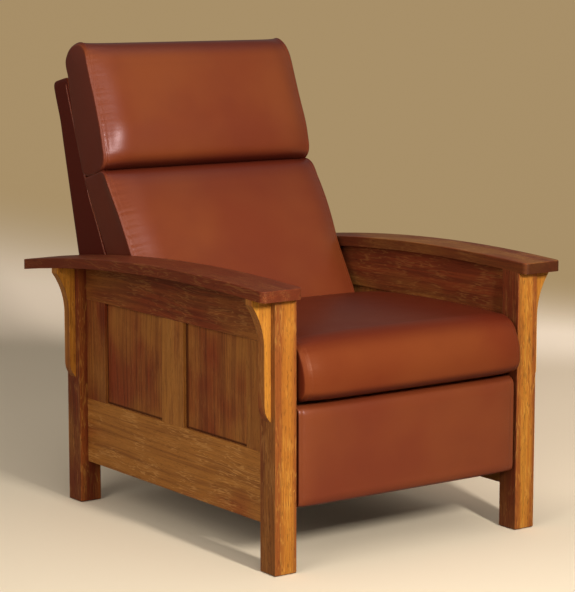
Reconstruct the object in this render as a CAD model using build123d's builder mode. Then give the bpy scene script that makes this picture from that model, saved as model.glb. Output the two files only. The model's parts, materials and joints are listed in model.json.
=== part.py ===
from build123d import *
import os
from math import atan2, cos, degrees, hypot, radians, sin, sqrt, tan

# A mission reclining armchair in oak and leather, in millimetres with +Z up.
# The chair faces -Y, so its left side here is the one on the left for someone who looks at it.
# The origin is on the floor under the middle of the chair. Depths are measured from the front
# faces of the front posts, towards the rear.

os.makedirs("parts", exist_ok=True)

# plan of the frame
post_span = 726.0        # over the outer faces of the left and right posts
frame_depth = 861.0      # over the outer faces of the front and rear posts
post_size = 56.0

# post details
post_round = 2.0
foot_chamfer = 1.5
glide_radius = 12.0
glide_thick = 5.0
glide_proud = 1.5

# bowed arms, bent to one arc that drops to the rear
arm_wide = 105.0
arm_thick = 24.0
arm_over_front = 24.0
arm_over_rear = 125.0
arm_bow_radius = 5000.0
arm_crest_depth = 262.0
arm_crest_high = 625.5
arm_corner = 13.0
arm_round = 2.5
arm_seat_gap = 0.1       # glue line between an arm and what it rests on

# side frames: rails, stiles and sunken panels
rail_recess = 22.0
rail_thick = 22.0
bottom_rail_low = 99.0
bottom_rail_wide = 154.0
top_rail_low = 492.0
stile_wide = 82.0
mullion_wide = 89.0
panel_thick = 9.0
panel_sink = 8.0
groove_deep = 8.0
panel_play = 0.5
rail_round = 1.2
tenon_thick = 10.0
tenon_long = 30.0
tenon_shoulder = 14.0
tenon_play = 0.1
top_tenon_tall = 48.0

# corbels
corbel_thick = 24.0
corbel_reach = 48.5
corbel_block = 12.0
corbel_waist = 16.0
corbel_curve_drop = 98.0
corbel_neck = 118.0
corbel_toe = 37.0
corbel_round = 1.0

# stretchers and the cleats that carry the mechanism
stretcher_thick = 22.0
stretcher_tall = 60.0
rear_stretcher_low = 100.0
front_stretcher_low = 105.0
front_stretcher_depth = 185.0
cleat_low = 190.0
cleat_tall = 40.0
cleat_front = 70.0
cleat_post_gap = 15.0

# mechanism plates, from the outside inwards
plate_thick = 4.0
plate_gap = 1.0
base_outer_x = 299.0
base_front = 110.0
base_cleat_gap = 90.0    # from the rear end of a base plate to the rear end of its cleat
base_low = 175.0
base_tall = 155.0
slide_outer_x = 290.0
slide_front = 60.0
slide_plate_low = 270.0
flange_wide = 50.0
flange_front = 25.0
link_gap = 0.5
link_wide = 22.0
stud_radius = 5.0
stud_play = 0.06
open_play = 0.5          # play at the pivot that closes the linkage
stud_head_radius = 8.0
stud_head_thick = 1.5
torque_tube_radius = 8.0
seat_travel = 75.0
guide_high = 300.0
guide_front_gap = 170.0   # from the front end of a slide plate to its first slot
guide_rear_gap = 25.0     # from its last slot to its rear end
guide_slot_play = 0.1
guide_head_thick = 2.0
screw_radius = 3.5
screw_head_radius = 7.0
screw_head_thick = 2.5
screw_long = 18.0
screw_share = 0.08       # distance of the end screws from the plate's ends, of its length

# footrest linkage: a two-stage lazy tongs, folded at rest
fold_angle = 80.0
travel_tilt = 3.0
link_long = 200.0
footrest_pivot_depth = 80.0
footrest_pivot_high = 333.0
control_stub = 60.0

# footrest
soft_half = 299.0        # half width of the seat and the footrest
footrest_low = 144.0
footrest_tall = 213.0
footrest_pad_thick = 48.0
footrest_board_thick = 12.0
footrest_board_inset = 8.0
footrest_board_half = 268.0
footrest_round = 16.0
footrest_crown = 5.0
bracket_drop = 130.0
bracket_deep = 18.0
soft_gap = 0.3

# seat frame
seat_frame_low = 374.0
seat_frame_tall = 18.0
seat_frame_outer = 289.0
seat_rail_wide = 56.0
seat_front_rail_wide = 40.0
seat_pivot_gap = 70.0     # from the seat frame's rear end to the back's pivot
wire = 3.2
seat_spring_count = 5
spring_pitch = 44.0
spring_swing = 38.0
spring_bend = 9.0
deck_thick = 1.5

# seat cushion
seat_top = 497.0
seat_rear_fall = 26.0     # how far the seat's top falls to the rear
lip_low = 375.0
seat_roll_small = 19.0
seat_crown = 10.0
front_crown_share = 5 / 4      # crown of the seat's front, as a share of its top's
rim_wide = 11.0
rim_inset = 9.0

# back frame and its cover
back_half = 294.0
back_set = 180.0         # how far the foot of the front line lies before the frame's rear face
back_drop = 110.0        # how far the cover reaches below that foot
cover_deep = 171.0       # depth of the cover's rear face behind that foot, at its lower edge
back_lean = 14.1
cover_toe = 19.0         # how far the cover's lower front edge lies behind that foot
lumbar_foot_high = 410.0
lumbar_length = 413.0      # length of the front line behind the lumbar pillow
lumbar_lean = 29.3
head_length = 246.0
head_lean = 20.2
back_top_fall = 16.0
back_top_round = 12.0
cover_thick = 3.5
back_rail_thick = 19.0
cross_rail_thick = 22.0
cross_rail_tall = 56.0
cross_rail_set = 8.0
back_spring_count = 4
back_pivot_front = 26.0  # the back's pivot, before and below that foot
back_pivot_drop = 25.0
back_pivot_radius = 6.0
ear_radius = 16.0
flange_overlap = 1.0     # how far a slide plate runs into its ear and past the seat frame
bracket_rise = 120.0

# pillows, each on its own stretch of the back's front line
lumbar_thick = 92.0
lumbar_crown = 24.0
head_thick = 97.0
head_crown = 16.0
head_over = 68.0         # how far the head pillow rises past the top of the frame
pillow_crease = 6.0      # open crease between the two pillows

overrun = 10.0           # how far cuts and trimmed stock run past what they meet



def line_dirs(lean):
    """Directions up a leaning line and square out to its front."""
    angle = radians(lean)
    return (sin(angle), cos(angle)), (-cos(angle), sin(angle))


def on_line(origin, lean, out, up):
    """A point given by its distance in front of a leaning line and its distance up it."""
    t_dir, n_dir = line_dirs(lean)
    return (
        origin[0] + up * t_dir[0] + out * n_dir[0],
        origin[1] + up * t_dir[1] + out * n_dir[1],
    )


# places that follow from the sizes above
lumbar_foot_depth = frame_depth - back_set
foot = (lumbar_foot_depth, lumbar_foot_high)
back_low = lumbar_foot_high - back_drop
back_front_low = lumbar_foot_depth + cover_toe
back_rear_low = lumbar_foot_depth + cover_deep
back_pivot_depth = lumbar_foot_depth - back_pivot_front
back_pivot_high = lumbar_foot_high - back_pivot_drop
seat_frame_rear = back_pivot_depth - seat_pivot_gap
slide_rear = back_pivot_depth - ear_radius + flange_overlap
guide_depths = (slide_front + guide_front_gap, slide_rear - guide_rear_gap - seat_travel)
knee = on_line(foot, lumbar_lean, 0, lumbar_length)
crown_point = on_line(knee, head_lean, 0, head_length)
rear_run = tan(radians(back_lean))
cover_top_rear_high = crown_point[1] - back_top_fall
cover_top_rear = (back_rear_low + (cover_top_rear_high - back_low) * rear_run, cover_top_rear_high)
rear_angle = radians(back_lean)
top_angle = atan2(back_top_fall, cover_top_rear[0] - crown_point[0])
corner_cut = (cos(top_angle) + sin(rear_angle)) / cos(rear_angle - top_angle) - 1
back_reach = cover_top_rear[0] - back_top_round * corner_cut
seat_proud = seat_roll_small + front_crown_share * seat_crown + soft_gap
front_y = -(back_reach - seat_proud) / 2
post_outer = post_span / 2
post_inner = post_outer - post_size
rear_post_front = frame_depth - post_size
rail_outer = post_outer - rail_recess
rail_inner = rail_outer - rail_thick
rail_middle = (rail_outer + rail_inner) / 2
opening_low = bottom_rail_low + bottom_rail_wide
panel_open = (rear_post_front - post_size - 2 * stile_wide - mullion_wide) / 2
front_opening = (post_size + stile_wide, post_size + stile_wide + panel_open)
rear_opening = (rear_post_front - stile_wide - panel_open, rear_post_front - stile_wide)
bow_centre_high = arm_crest_high - arm_bow_radius
sides = ((-1, "left"), (1, "right"))


def side_plane(x):
    """A plane across the chair at x, on which a point is (depth, height)."""
    return Plane(origin=(x, front_y, 0), x_dir=(0, 1, 0), z_dir=(1, 0, 0))


def face_plane(side, x, depth):
    """A plane that looks at the chair's front, on which a point is (distance out from x, height)."""
    return Plane(origin=(side * x, front_y + depth, 0), x_dir=(side, 0, 0), z_dir=(0, -side, 0))


def block(x_a, x_b, y_a, y_b, z_a, z_b, mode=Mode.ADD):
    """A box between two widths, two depths and two heights, added to the part in hand."""
    with Locations(((x_a + x_b) / 2, front_y + (y_a + y_b) / 2, (z_a + z_b) / 2)):
        Box(abs(x_b - x_a), abs(y_b - y_a), abs(z_b - z_a), mode=mode)


def rod(x_a, x_b, depth, high, radius, mode=Mode.ADD):
    """A round bar along X."""
    with BuildSketch(side_plane(min(x_a, x_b))) as disc:
        with Locations((depth, high)):
            Circle(radius)
    extrude(disc.sketch, amount=abs(x_b - x_a), mode=mode)


def save(builder, name):
    builder.part.label = name
    export_step(builder.part, f"parts/{name}.step")


def arc_high(depth, drop):
    """Height of the arm's arc at a depth, a given drop below its top face."""
    radius = arm_bow_radius - drop
    return bow_centre_high + sqrt(radius**2 - (depth - arm_crest_depth) ** 2)


def arm_underside(depth):
    return arc_high(depth, arm_thick + arm_seat_gap)


def under_arm_face(x, y_a, y_b, z_low):
    """The face of a piece whose top follows the underside of the arm."""
    drop = arm_thick + arm_seat_gap
    y_m = (y_a + y_b) / 2
    with BuildSketch(side_plane(x)) as face:
        with BuildLine():
            Polyline((y_a, arc_high(y_a, drop)), (y_a, z_low), (y_b, z_low), (y_b, arc_high(y_b, drop)))
            ThreePointArc(
                (y_a, arc_high(y_a, drop)), (y_m, arc_high(y_m, drop)), (y_b, arc_high(y_b, drop))
            )
        make_face()
    return face.sketch


def across(side, x_a, x_b):
    """The two widths of a piece on one side, the lower one first."""
    return sorted((side * x_a, side * x_b))


def cut_panel_grooves(side):
    """The space of a side's two panels with their tongues, cut from rails, stiles and mullion."""
    x_a, x_b = across(side, rail_outer - panel_sink, rail_outer - panel_sink - panel_thick)
    for y_a, y_b in (front_opening, rear_opening):
        block(
            x_a, x_b, y_a - groove_deep, y_b + groove_deep,
            opening_low - groove_deep, top_rail_low + groove_deep, mode=Mode.SUBTRACT,
        )


def rail_tenons(side, z_a, z_b, play=0.0, mode=Mode.ADD):
    """The two tenons of a side rail, or the mortises that take them."""
    x_a, x_b = across(side, rail_middle - tenon_thick / 2 - play, rail_middle + tenon_thick / 2 + play)
    for y_a, y_b in (
        (post_size - tenon_long - play, post_size + play),
        (rear_post_front - play, rear_post_front + tenon_long + play),
    ):
        block(x_a, x_b, y_a, y_b, z_a - play, z_b + play, mode=mode)


bottom_tenon = (bottom_rail_low + tenon_shoulder, opening_low - tenon_shoulder)
top_tenon = (top_rail_low + tenon_shoulder, top_rail_low + tenon_shoulder + top_tenon_tall)
stretcher_tenon = (
    rear_stretcher_low + tenon_shoulder,
    rear_stretcher_low + stretcher_tall - tenon_shoulder,
)
rear_stretcher_front = rear_post_front + (post_size - stretcher_thick) / 2


def stretcher_tenons(play=0.0, mode=Mode.ADD):
    """The two tenons of the rear stretcher, or the mortises that take them."""
    y_m = rear_stretcher_front + stretcher_thick / 2
    for side in (-1, 1):
        block(
            *across(side, post_inner - play, post_inner + tenon_long / 2 + play),
            y_m - tenon_thick / 2 - play, y_m + tenon_thick / 2 + play,
            stretcher_tenon[0] - play, stretcher_tenon[1] + play, mode=mode,
        )


# posts
for side, hand in sides:
    for end, y_a in (("front", 0.0), ("rear", rear_post_front)):
        x_a, x_b = across(side, post_inner, post_outer)
        with BuildPart() as post:
            extrude(under_arm_face(x_a, y_a, y_a + post_size, glide_proud), amount=post_size)
            fillet(post.edges().filter_by(Axis.Z), post_round)
            chamfer(post.faces().sort_by(Axis.Z)[0].edges(), foot_chamfer)
            rail_tenons(side, *bottom_tenon, play=tenon_play, mode=Mode.SUBTRACT)
            rail_tenons(side, *top_tenon, play=tenon_play, mode=Mode.SUBTRACT)
            if end == "rear":
                stretcher_tenons(play=tenon_play, mode=Mode.SUBTRACT)
            with Locations(((x_a + x_b) / 2, front_y + y_a + post_size / 2, glide_thick / 2)):
                Cylinder(glide_radius + tenon_play, glide_thick, mode=Mode.SUBTRACT)
        save(post, f"{end}_post_{hand}")

# glides
with BuildPart() as glides:
    for side, hand in sides:
        for y_a in (0.0, rear_post_front):
            x_m = side * (post_inner + post_outer) / 2
            with Locations((x_m, front_y + y_a + post_size / 2, glide_thick / 2)):
                Cylinder(glide_radius, glide_thick)
save(glides, "glides")

# side frames
for side, hand in sides:
    x_a, x_b = across(side, rail_inner, rail_outer)
    outer = Axis.X if side > 0 else -Axis.X

    with BuildPart() as bottom_rail:
        block(x_a, x_b, post_size, rear_post_front, bottom_rail_low, opening_low)
        fillet(bottom_rail.edges().filter_by(Axis.Y).sort_by(outer)[-2:], rail_round)
        rail_tenons(side, *bottom_tenon)
        cut_panel_grooves(side)
    save(bottom_rail, f"bottom_rail_{hand}")

    with BuildPart() as top_rail:
        extrude(under_arm_face(x_a, post_size, rear_post_front, top_rail_low), amount=rail_thick)
        low_edges = top_rail.edges().filter_by(Axis.Y).group_by(Axis.Z)[0]
        fillet(low_edges.sort_by(outer)[-1], rail_round)
        rail_tenons(side, *top_tenon)
        cut_panel_grooves(side)
    save(top_rail, f"top_rail_{hand}")

    uprights = (
        ("front_stile", post_size, front_opening[0]),
        ("mullion", front_opening[1], rear_opening[0]),
        ("rear_stile", rear_opening[1], rear_post_front),
    )
    for name, y_a, y_b in uprights:
        with BuildPart() as upright:
            block(x_a, x_b, y_a, y_b, opening_low, top_rail_low)
            fillet(upright.edges().filter_by(Axis.Z).sort_by(outer)[-2:], rail_round)
            cut_panel_grooves(side)
        save(upright, f"{name}_{hand}")

    panel_face = rail_outer - panel_sink
    p_a, p_b = across(side, panel_face - tenon_play, panel_face - panel_thick + tenon_play)
    for name, (y_a, y_b) in (("front_panel", front_opening), ("rear_panel", rear_opening)):
        reach = groove_deep - panel_play
        with BuildPart() as panel:
            block(p_a, p_b, y_a - reach, y_b + reach, opening_low - reach, top_rail_low + reach)
        save(panel, f"{name}_{hand}")

# arms
for side, hand in sides:
    x_a, x_b = across(side, post_inner, post_inner + arm_wide)
    y_a, y_b = -arm_over_front, frame_depth + arm_over_rear
    y_m = (y_a + y_b) / 2
    with BuildPart() as arm:
        with BuildSketch(side_plane(x_a)):
            with BuildLine():
                ThreePointArc((y_a, arc_high(y_a, 0)), (y_m, arc_high(y_m, 0)), (y_b, arc_high(y_b, 0)))
                ThreePointArc(
                    (y_a, arc_high(y_a, arm_thick)),
                    (y_m, arc_high(y_m, arm_thick)),
                    (y_b, arc_high(y_b, arm_thick)),
                )
                Line((y_a, arc_high(y_a, 0)), (y_a, arc_high(y_a, arm_thick)))
                Line((y_b, arc_high(y_b, 0)), (y_b, arc_high(y_b, arm_thick)))
            make_face()
        extrude(amount=arm_wide)
        fillet(arm.edges().filter_by(Axis.Z), arm_corner)
        top_face = arm.faces().filter_by(GeomType.CYLINDER).sort_by(SortBy.AREA)[-2:].sort_by(Axis.Z)[-1]
        fillet(top_face.edges(), arm_round)
    save(arm, f"arm_{hand}")

# corbels, each trimmed to the arm above it
for side, hand in sides:
    for end, y_m in (("front", post_size / 2), ("rear", frame_depth - post_size / 2)):
        top = arm_underside(y_m)
        curve_low = top - corbel_block - corbel_curve_drop
        neck_low = curve_low - corbel_neck
        toe_low = neck_low - corbel_toe
        y_a, y_b = y_m - corbel_thick / 2, y_m + corbel_thick / 2
        with BuildPart() as corbel:
            with BuildSketch(face_plane(side, post_outer, y_m)):
                with BuildLine():
                    Polyline(
                        (0, toe_low), (0, top + overrun), (corbel_reach, top + overrun),
                        (corbel_reach, top - corbel_block),
                    )
                    TangentArc(
                        (corbel_waist, curve_low), (corbel_reach, top - corbel_block), tangent=(0, 1)
                    )
                    Line((corbel_waist, curve_low), (corbel_waist, neck_low))
                    TangentArc((corbel_waist, neck_low), (0, toe_low), tangent=(0, -1))
                make_face()
            extrude(amount=corbel_thick / 2, both=True)
            rim = corbel.edges().filter_by(lambda edge: abs(edge.center().X) > post_outer + rail_round)
            fillet(rim.filter_by(Axis.Y, reverse=True).filter_by(Axis.X, reverse=True), corbel_round)
            trim_x, trim_far = across(side, post_outer - overrun, post_outer + corbel_reach + overrun)
            trim = under_arm_face(trim_x, y_a - overrun, y_b + overrun, toe_low - overrun)
            extrude(trim, amount=trim_far - trim_x, mode=Mode.INTERSECT)
        save(corbel, f"{end}_corbel_{hand}")

# stretchers
with BuildPart() as rear_stretcher:
    block(
        -post_inner, post_inner, rear_stretcher_front, rear_stretcher_front + stretcher_thick,
        rear_stretcher_low, rear_stretcher_low + stretcher_tall,
    )
    fillet(rear_stretcher.edges().filter_by(Axis.X), rail_round)
    stretcher_tenons()
save(rear_stretcher, "rear_stretcher")

with BuildPart() as front_stretcher:
    block(
        -rail_inner, rail_inner, front_stretcher_depth, front_stretcher_depth + stretcher_thick,
        front_stretcher_low, front_stretcher_low + stretcher_tall,
    )
    fillet(front_stretcher.edges().filter_by(Axis.X), rail_round)
save(front_stretcher, "front_stretcher")

# cleats and base plates, which carry the mechanism
base_inner_x = base_outer_x - plate_thick
slide_inner_x = slide_outer_x - plate_thick
screw_high = cleat_low + cleat_tall / 2
cleat_rear = rear_post_front - cleat_post_gap
base_rear = cleat_rear - base_cleat_gap
screw_depths = [
    base_front + share * (base_rear - base_front) for share in (screw_share, 1 / 2, 1 - screw_share)
]

with BuildPart() as mechanism_cleats:
    for side, hand in sides:
        block(
            *across(side, base_outer_x, rail_inner), cleat_front, cleat_rear,
            cleat_low, cleat_low + cleat_tall,
        )
        for depth in screw_depths:
            rod(
                *across(side, base_outer_x - overrun, base_inner_x + screw_long),
                depth, screw_high, screw_radius + tenon_play, mode=Mode.SUBTRACT,
            )
save(mechanism_cleats, "mechanism_cleats")

for side, hand in sides:
    with BuildPart() as base_plate:
        block(
            *across(side, base_inner_x, base_outer_x), base_front, base_rear,
            base_low, base_low + base_tall,
        )
        fillet(base_plate.edges().filter_by(Axis.X), overrun)
        for depth in screw_depths:
            rod(
                *across(side, base_inner_x - overrun, base_outer_x + overrun),
                depth, screw_high, screw_radius + tenon_play, mode=Mode.SUBTRACT,
            )
        for depth in guide_depths:
            rod(
                *across(side, base_inner_x - overrun, base_outer_x + overrun),
                depth, guide_high, stud_radius + stud_play, mode=Mode.SUBTRACT,
            )
    save(base_plate, f"base_plate_{hand}")

with BuildPart() as plate_screws:
    for side, hand in sides:
        for depth in screw_depths:
            tip_x, head_x = base_inner_x + screw_long - tenon_play, base_inner_x - screw_head_thick
            rod(*across(side, base_inner_x, tip_x), depth, screw_high, screw_radius)
            rod(*across(side, head_x, base_inner_x), depth, screw_high, screw_head_radius)
save(plate_screws, "plate_screws")

with BuildPart() as guide_pins:
    for side, hand in sides:
        for depth in guide_depths:
            head_x = slide_inner_x - link_gap
            rod(*across(side, head_x, base_outer_x + plate_gap), depth, guide_high, stud_radius)
            rod(*across(side, head_x - guide_head_thick, head_x), depth, guide_high, stud_head_radius)
save(guide_pins, "guide_pins")

# the linkage's points at rest: along u it travels out, along v it hangs down
tilt = radians(travel_tilt)
fold = radians(fold_angle)
u_dir = (-cos(tilt), sin(tilt))
v_dir = (-sin(tilt), -cos(tilt))


def tongs_point(u_links, v_links):
    """A pivot of the folded tongs, in link lengths along its travel and across it."""
    along = u_links * link_long * cos(fold)
    down = v_links * link_long * sin(fold)
    return (
        tongs_root[0] + along * u_dir[0] + down * v_dir[0],
        tongs_root[1] + along * u_dir[1] + down * v_dir[1],
    )


tongs_root = (
    footrest_pivot_depth - 2 * link_long * cos(fold) * u_dir[0],
    footrest_pivot_high - 2 * link_long * cos(fold) * u_dir[1],
)
main_middle = tongs_point(1 / 2, 1 / 2)
main_end = tongs_point(1, 1)
cross_start = tongs_point(0, 1)
cross_end = tongs_point(1, 0)
lift_middle = tongs_point(3 / 2, 1 / 2)
lift_end = tongs_point(2, 0)
link_dir = (
    (main_end[0] - tongs_root[0]) / link_long,
    (main_end[1] - tongs_root[1]) / link_long,
)
control_end = (
    lift_middle[0] + control_stub * link_dir[0],
    lift_middle[1] + control_stub * link_dir[1],
)

# layers of the linkage, from the slide plate inwards
main_outer_x = slide_inner_x - link_gap
main_inner_x = main_outer_x - plate_thick
cross_outer_x = main_inner_x - plate_gap
cross_inner_x = cross_outer_x - plate_thick
foot_outer_x = cross_inner_x - plate_gap
foot_inner_x = foot_outer_x - plate_thick


def link_plate(x_a, x_b, start, finish, holes):
    """A flat link with round ends between two pivots, and holes of given radii."""
    long = hypot(finish[0] - start[0], finish[1] - start[1])
    turn = degrees(atan2(finish[1] - start[1], finish[0] - start[0]))
    with BuildSketch(side_plane(min(x_a, x_b))) as shape:
        with Locations(((start[0] + finish[0]) / 2, (start[1] + finish[1]) / 2)):
            SlotCenterToCenter(long, link_wide, rotation=turn)
        for (depth, high), radius in holes:
            with Locations((depth, high)):
                Circle(radius, mode=Mode.SUBTRACT)
    extrude(shape.sketch, amount=abs(x_b - x_a))


stud_hole = stud_radius + stud_play

# slide plates, which carry the seat, the back's pivot and the footrest linkage
for side, hand in sides:
    x_a, x_b = across(side, slide_inner_x, slide_outer_x)
    with BuildPart() as slide_plate:
        with BuildSketch(side_plane(x_a)):
            with Locations(((slide_front + slide_rear) / 2, (slide_plate_low + seat_frame_low) / 2)):
                Rectangle(slide_rear - slide_front, seat_frame_low - slide_plate_low)
            with Locations((back_pivot_depth, back_pivot_high - 3 / 2 * ear_radius)):
                Rectangle(2 * ear_radius, 3 * ear_radius)
            with Locations((back_pivot_depth, back_pivot_high)):
                Circle(ear_radius)
            for depth in guide_depths:
                with Locations((depth + seat_travel / 2, guide_high)):
                    SlotCenterToCenter(
                        seat_travel, 2 * (stud_radius + guide_slot_play), mode=Mode.SUBTRACT
                    )
        extrude(amount=plate_thick)
        block(
            *across(side, slide_outer_x - flange_wide, slide_outer_x),
            flange_front, seat_frame_rear + flange_overlap, seat_frame_low - plate_thick, seat_frame_low,
        )
        rod(*across(side, main_inner_x - stud_play, slide_inner_x), *tongs_root, stud_radius)
        rod(
            *across(side, main_inner_x - stud_play - stud_head_thick, main_inner_x - stud_play),
            *tongs_root, stud_head_radius,
        )
        rod(
            *across(side, main_inner_x - stud_play, slide_inner_x),
            back_pivot_depth, back_pivot_high, back_pivot_radius,
        )
        rod(
            *across(side, main_inner_x - stud_play - stud_head_thick, main_inner_x - stud_play),
            back_pivot_depth, back_pivot_high, stud_head_radius + stud_head_thick,
        )
    save(slide_plate, f"slide_plate_{hand}")

# footrest links
with BuildPart() as main_links:
    for side, hand in sides:
        link_plate(
            *across(side, main_inner_x, main_outer_x), tongs_root, main_end, [(tongs_root, stud_hole)]
        )
        rod(*across(side, cross_inner_x - stud_play, main_inner_x), *main_middle, stud_radius)
        rod(
            *across(side, cross_inner_x - stud_play - stud_head_thick, cross_inner_x - stud_play),
            *main_middle, stud_head_radius,
        )
        rod(*across(side, cross_inner_x - stud_play, main_inner_x), *main_end, stud_radius)
    tube_half = cross_inner_x - stud_play
    rod(-tube_half, tube_half, *main_end, torque_tube_radius)
save(main_links, "main_links")

with BuildPart() as cross_links:
    for side, hand in sides:
        link_plate(
            *across(side, cross_inner_x, cross_outer_x), cross_start, cross_end,
            [(main_middle, stud_hole), (cross_start, stud_hole)],
        )
        rod(*across(side, cross_outer_x, main_outer_x - stud_play), *cross_end, stud_radius)
save(cross_links, "cross_links")

with BuildPart() as lift_links:
    for side, hand in sides:
        link_plate(
            *across(side, cross_inner_x, cross_outer_x), main_end, lift_end,
            [(main_end, stud_hole), (lift_middle, stud_hole)],
        )
        rod(*across(side, foot_inner_x - stud_play, cross_inner_x), *lift_end, stud_radius)
        rod(
            *across(side, foot_inner_x - stud_play - stud_head_thick, foot_inner_x - stud_play),
            *lift_end, stud_head_radius,
        )
save(lift_links, "lift_links")

with BuildPart() as control_links:
    for side, hand in sides:
        link_plate(
            *across(side, main_inner_x, main_outer_x), cross_end, control_end,
            [(cross_end, stud_radius + open_play), (control_end, stud_hole)],
        )
        rod(*across(side, cross_inner_x - stud_play, main_inner_x), *lift_middle, stud_radius)
        rod(
            *across(side, cross_inner_x - stud_play - stud_head_thick, cross_inner_x - stud_play),
            *lift_middle, stud_head_radius,
        )
save(control_links, "control_links")

# footrest board, and the brackets that hang it on the linkage
footrest_top = footrest_low + footrest_tall
board_front = footrest_pad_thick + soft_gap
board_rear = board_front + footrest_board_thick
with BuildPart() as footrest_board:
    block(
        -footrest_board_half, footrest_board_half, board_front, board_rear,
        footrest_low + footrest_board_inset, footrest_top - footrest_board_inset,
    )
save(footrest_board, "footrest_board")

for side, hand in sides:
    x_a, x_b = across(side, foot_inner_x, foot_outer_x)
    with BuildPart() as footrest_bracket:
        with BuildSketch(side_plane(x_a)):
            with Locations((board_rear + bracket_deep / 2, footrest_pivot_high - bracket_drop / 2)):
                Rectangle(bracket_deep, bracket_drop)
            with BuildLine():
                Polyline(
                    (board_rear, footrest_pivot_high + link_wide / 2),
                    (footrest_pivot_depth, footrest_pivot_high + link_wide / 2),
                    (footrest_pivot_depth, footrest_pivot_high - link_wide / 2),
                    (board_rear, footrest_pivot_high - link_wide), close=True,
                )
            make_face()
            with Locations((footrest_pivot_depth, footrest_pivot_high)):
                Circle(link_wide / 2)
                Circle(stud_hole, mode=Mode.SUBTRACT)
        extrude(amount=plate_thick)
        block(
            *across(side, footrest_board_half - flange_wide, foot_outer_x),
            board_rear, board_rear + plate_thick,
            footrest_pivot_high - bracket_drop, footrest_pivot_high - link_wide,
        )
    save(footrest_bracket, f"footrest_bracket_{hand}")

# seat frame
seat_frame_top = seat_frame_low + seat_frame_tall
rail_x = seat_frame_outer - seat_rail_wide
with BuildPart() as seat_front_rail:
    block(
        -seat_frame_outer, seat_frame_outer, flange_front, flange_front + seat_front_rail_wide,
        seat_frame_low, seat_frame_top,
    )
save(seat_front_rail, "seat_front_rail")

with BuildPart() as seat_rear_rail:
    block(
        -seat_frame_outer, seat_frame_outer, seat_frame_rear - seat_front_rail_wide, seat_frame_rear,
        seat_frame_low, seat_frame_top,
    )
save(seat_rear_rail, "seat_rear_rail")

for side, hand in sides:
    with BuildPart() as seat_side_rail:
        block(
            *across(side, rail_x, seat_frame_outer),
            flange_front + seat_front_rail_wide, seat_frame_rear - seat_front_rail_wide,
            seat_frame_low, seat_frame_top,
        )
    save(seat_side_rail, f"seat_side_rail_{hand}")


def spring_line(x, start, finish):
    """A sinuous spring's centre line along its length, swinging to both sides of x."""
    bends = round((finish - start) / spring_pitch)
    step = (finish - start) / bends
    points = [(x, start)]
    for index in range(bends):
        swing = spring_swing / 2 * (-1) ** index
        points.append((x + swing, start + step * (index + 1 / 4)))
        points.append((x + swing, start + step * (index + 3 / 4)))
    points.append((x, finish))
    return points


def spring_places(count, half):
    """Widths at which springs lie, evenly spaced between two side rails."""
    return [half * (2 * (index + 1) / (count + 1) - 1) for index in range(count)]


with BuildPart() as seat_springs:
    plane = Plane(origin=(0, front_y, seat_frame_top))
    for x in spring_places(seat_spring_count, rail_x):
        with BuildSketch(plane) as zigzag:
            with BuildLine() as path:
                FilletPolyline(
                    *spring_line(
                        x, flange_front + seat_front_rail_wide / 2,
                        seat_frame_rear - seat_front_rail_wide / 2,
                    ),
                    radius=spring_bend,
                )
            trace(path.line, line_width=wire)
        extrude(zigzag.sketch, amount=wire)
save(seat_springs, "seat_springs")

deck_low = seat_frame_top + wire + soft_gap
with BuildPart() as seat_deck:
    block(
        -seat_frame_outer, seat_frame_outer, flange_front + soft_gap, seat_frame_rear,
        deck_low, deck_low + deck_thick,
    )
save(seat_deck, "seat_deck")


# soft forms: an outline of lines and arcs, crowned to the middle and drawn in at its two ends
def outline_points(plan):
    """The points of an outline: its corners and, where a stretch is an arc, the arc's middle."""
    return [point for stretch in plan for point in stretch[1:]]


def moved_plan(plan, core, amounts):
    """Moves each point of an outline away from a core line by its own amount."""
    (c_a, d_a), (c_b, d_b) = core
    length = hypot(c_b - c_a, d_b - d_a)
    t_dir = ((c_b - c_a) / length, (d_b - d_a) / length)
    result = []
    index = 0
    for kind, *points in plan:
        moved = []
        for c, d in points:
            along = min(max((c - c_a) * t_dir[0] + (d - d_a) * t_dir[1], 0), length)
            near = (c_a + along * t_dir[0], d_a + along * t_dir[1])
            away = hypot(c - near[0], d - near[1])
            amount = amounts[index] / away
            moved.append((c + (c - near[0]) * amount, d + (d - near[1]) * amount))
            index += 1
        result.append((kind, *moved))
    return result


def outline_face(plane, plan):
    """A face from stretches of line and arc, each starting where the last one ends."""
    start = plan[-1][-1]
    with BuildSketch(plane) as face:
        with BuildLine():
            for kind, *points in plan:
                if kind == "arc":
                    ThreePointArc(start, points[0], points[1])
                else:
                    Line(start, points[0])
                start = points[-1]
        make_face()
    return face.sketch


def loft_cushion(plane_at, half, plan, core, crown, weights):
    """A closed cushion: a crowned middle between two rims that draw in at the ends."""
    count = len(outline_points(plan))
    inner = half - rim_wide
    ends = moved_plan(plan, core, [-rim_inset] * count)
    stations = (-1.0, -1 / 2, 0.0, 1 / 2, 1.0)
    faces = [
        outline_face(
            plane_at(station * inner),
            moved_plan(plan, core, [crown * weight * (1 - station**2) for weight in weights]),
        )
        for station in stations
    ]
    loft(faces)
    for side in (-1, 1):
        rim = [outline_face(plane_at(side * inner), plan), outline_face(plane_at(side * half), ends)]
        loft(rim, ruled=True)


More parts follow.
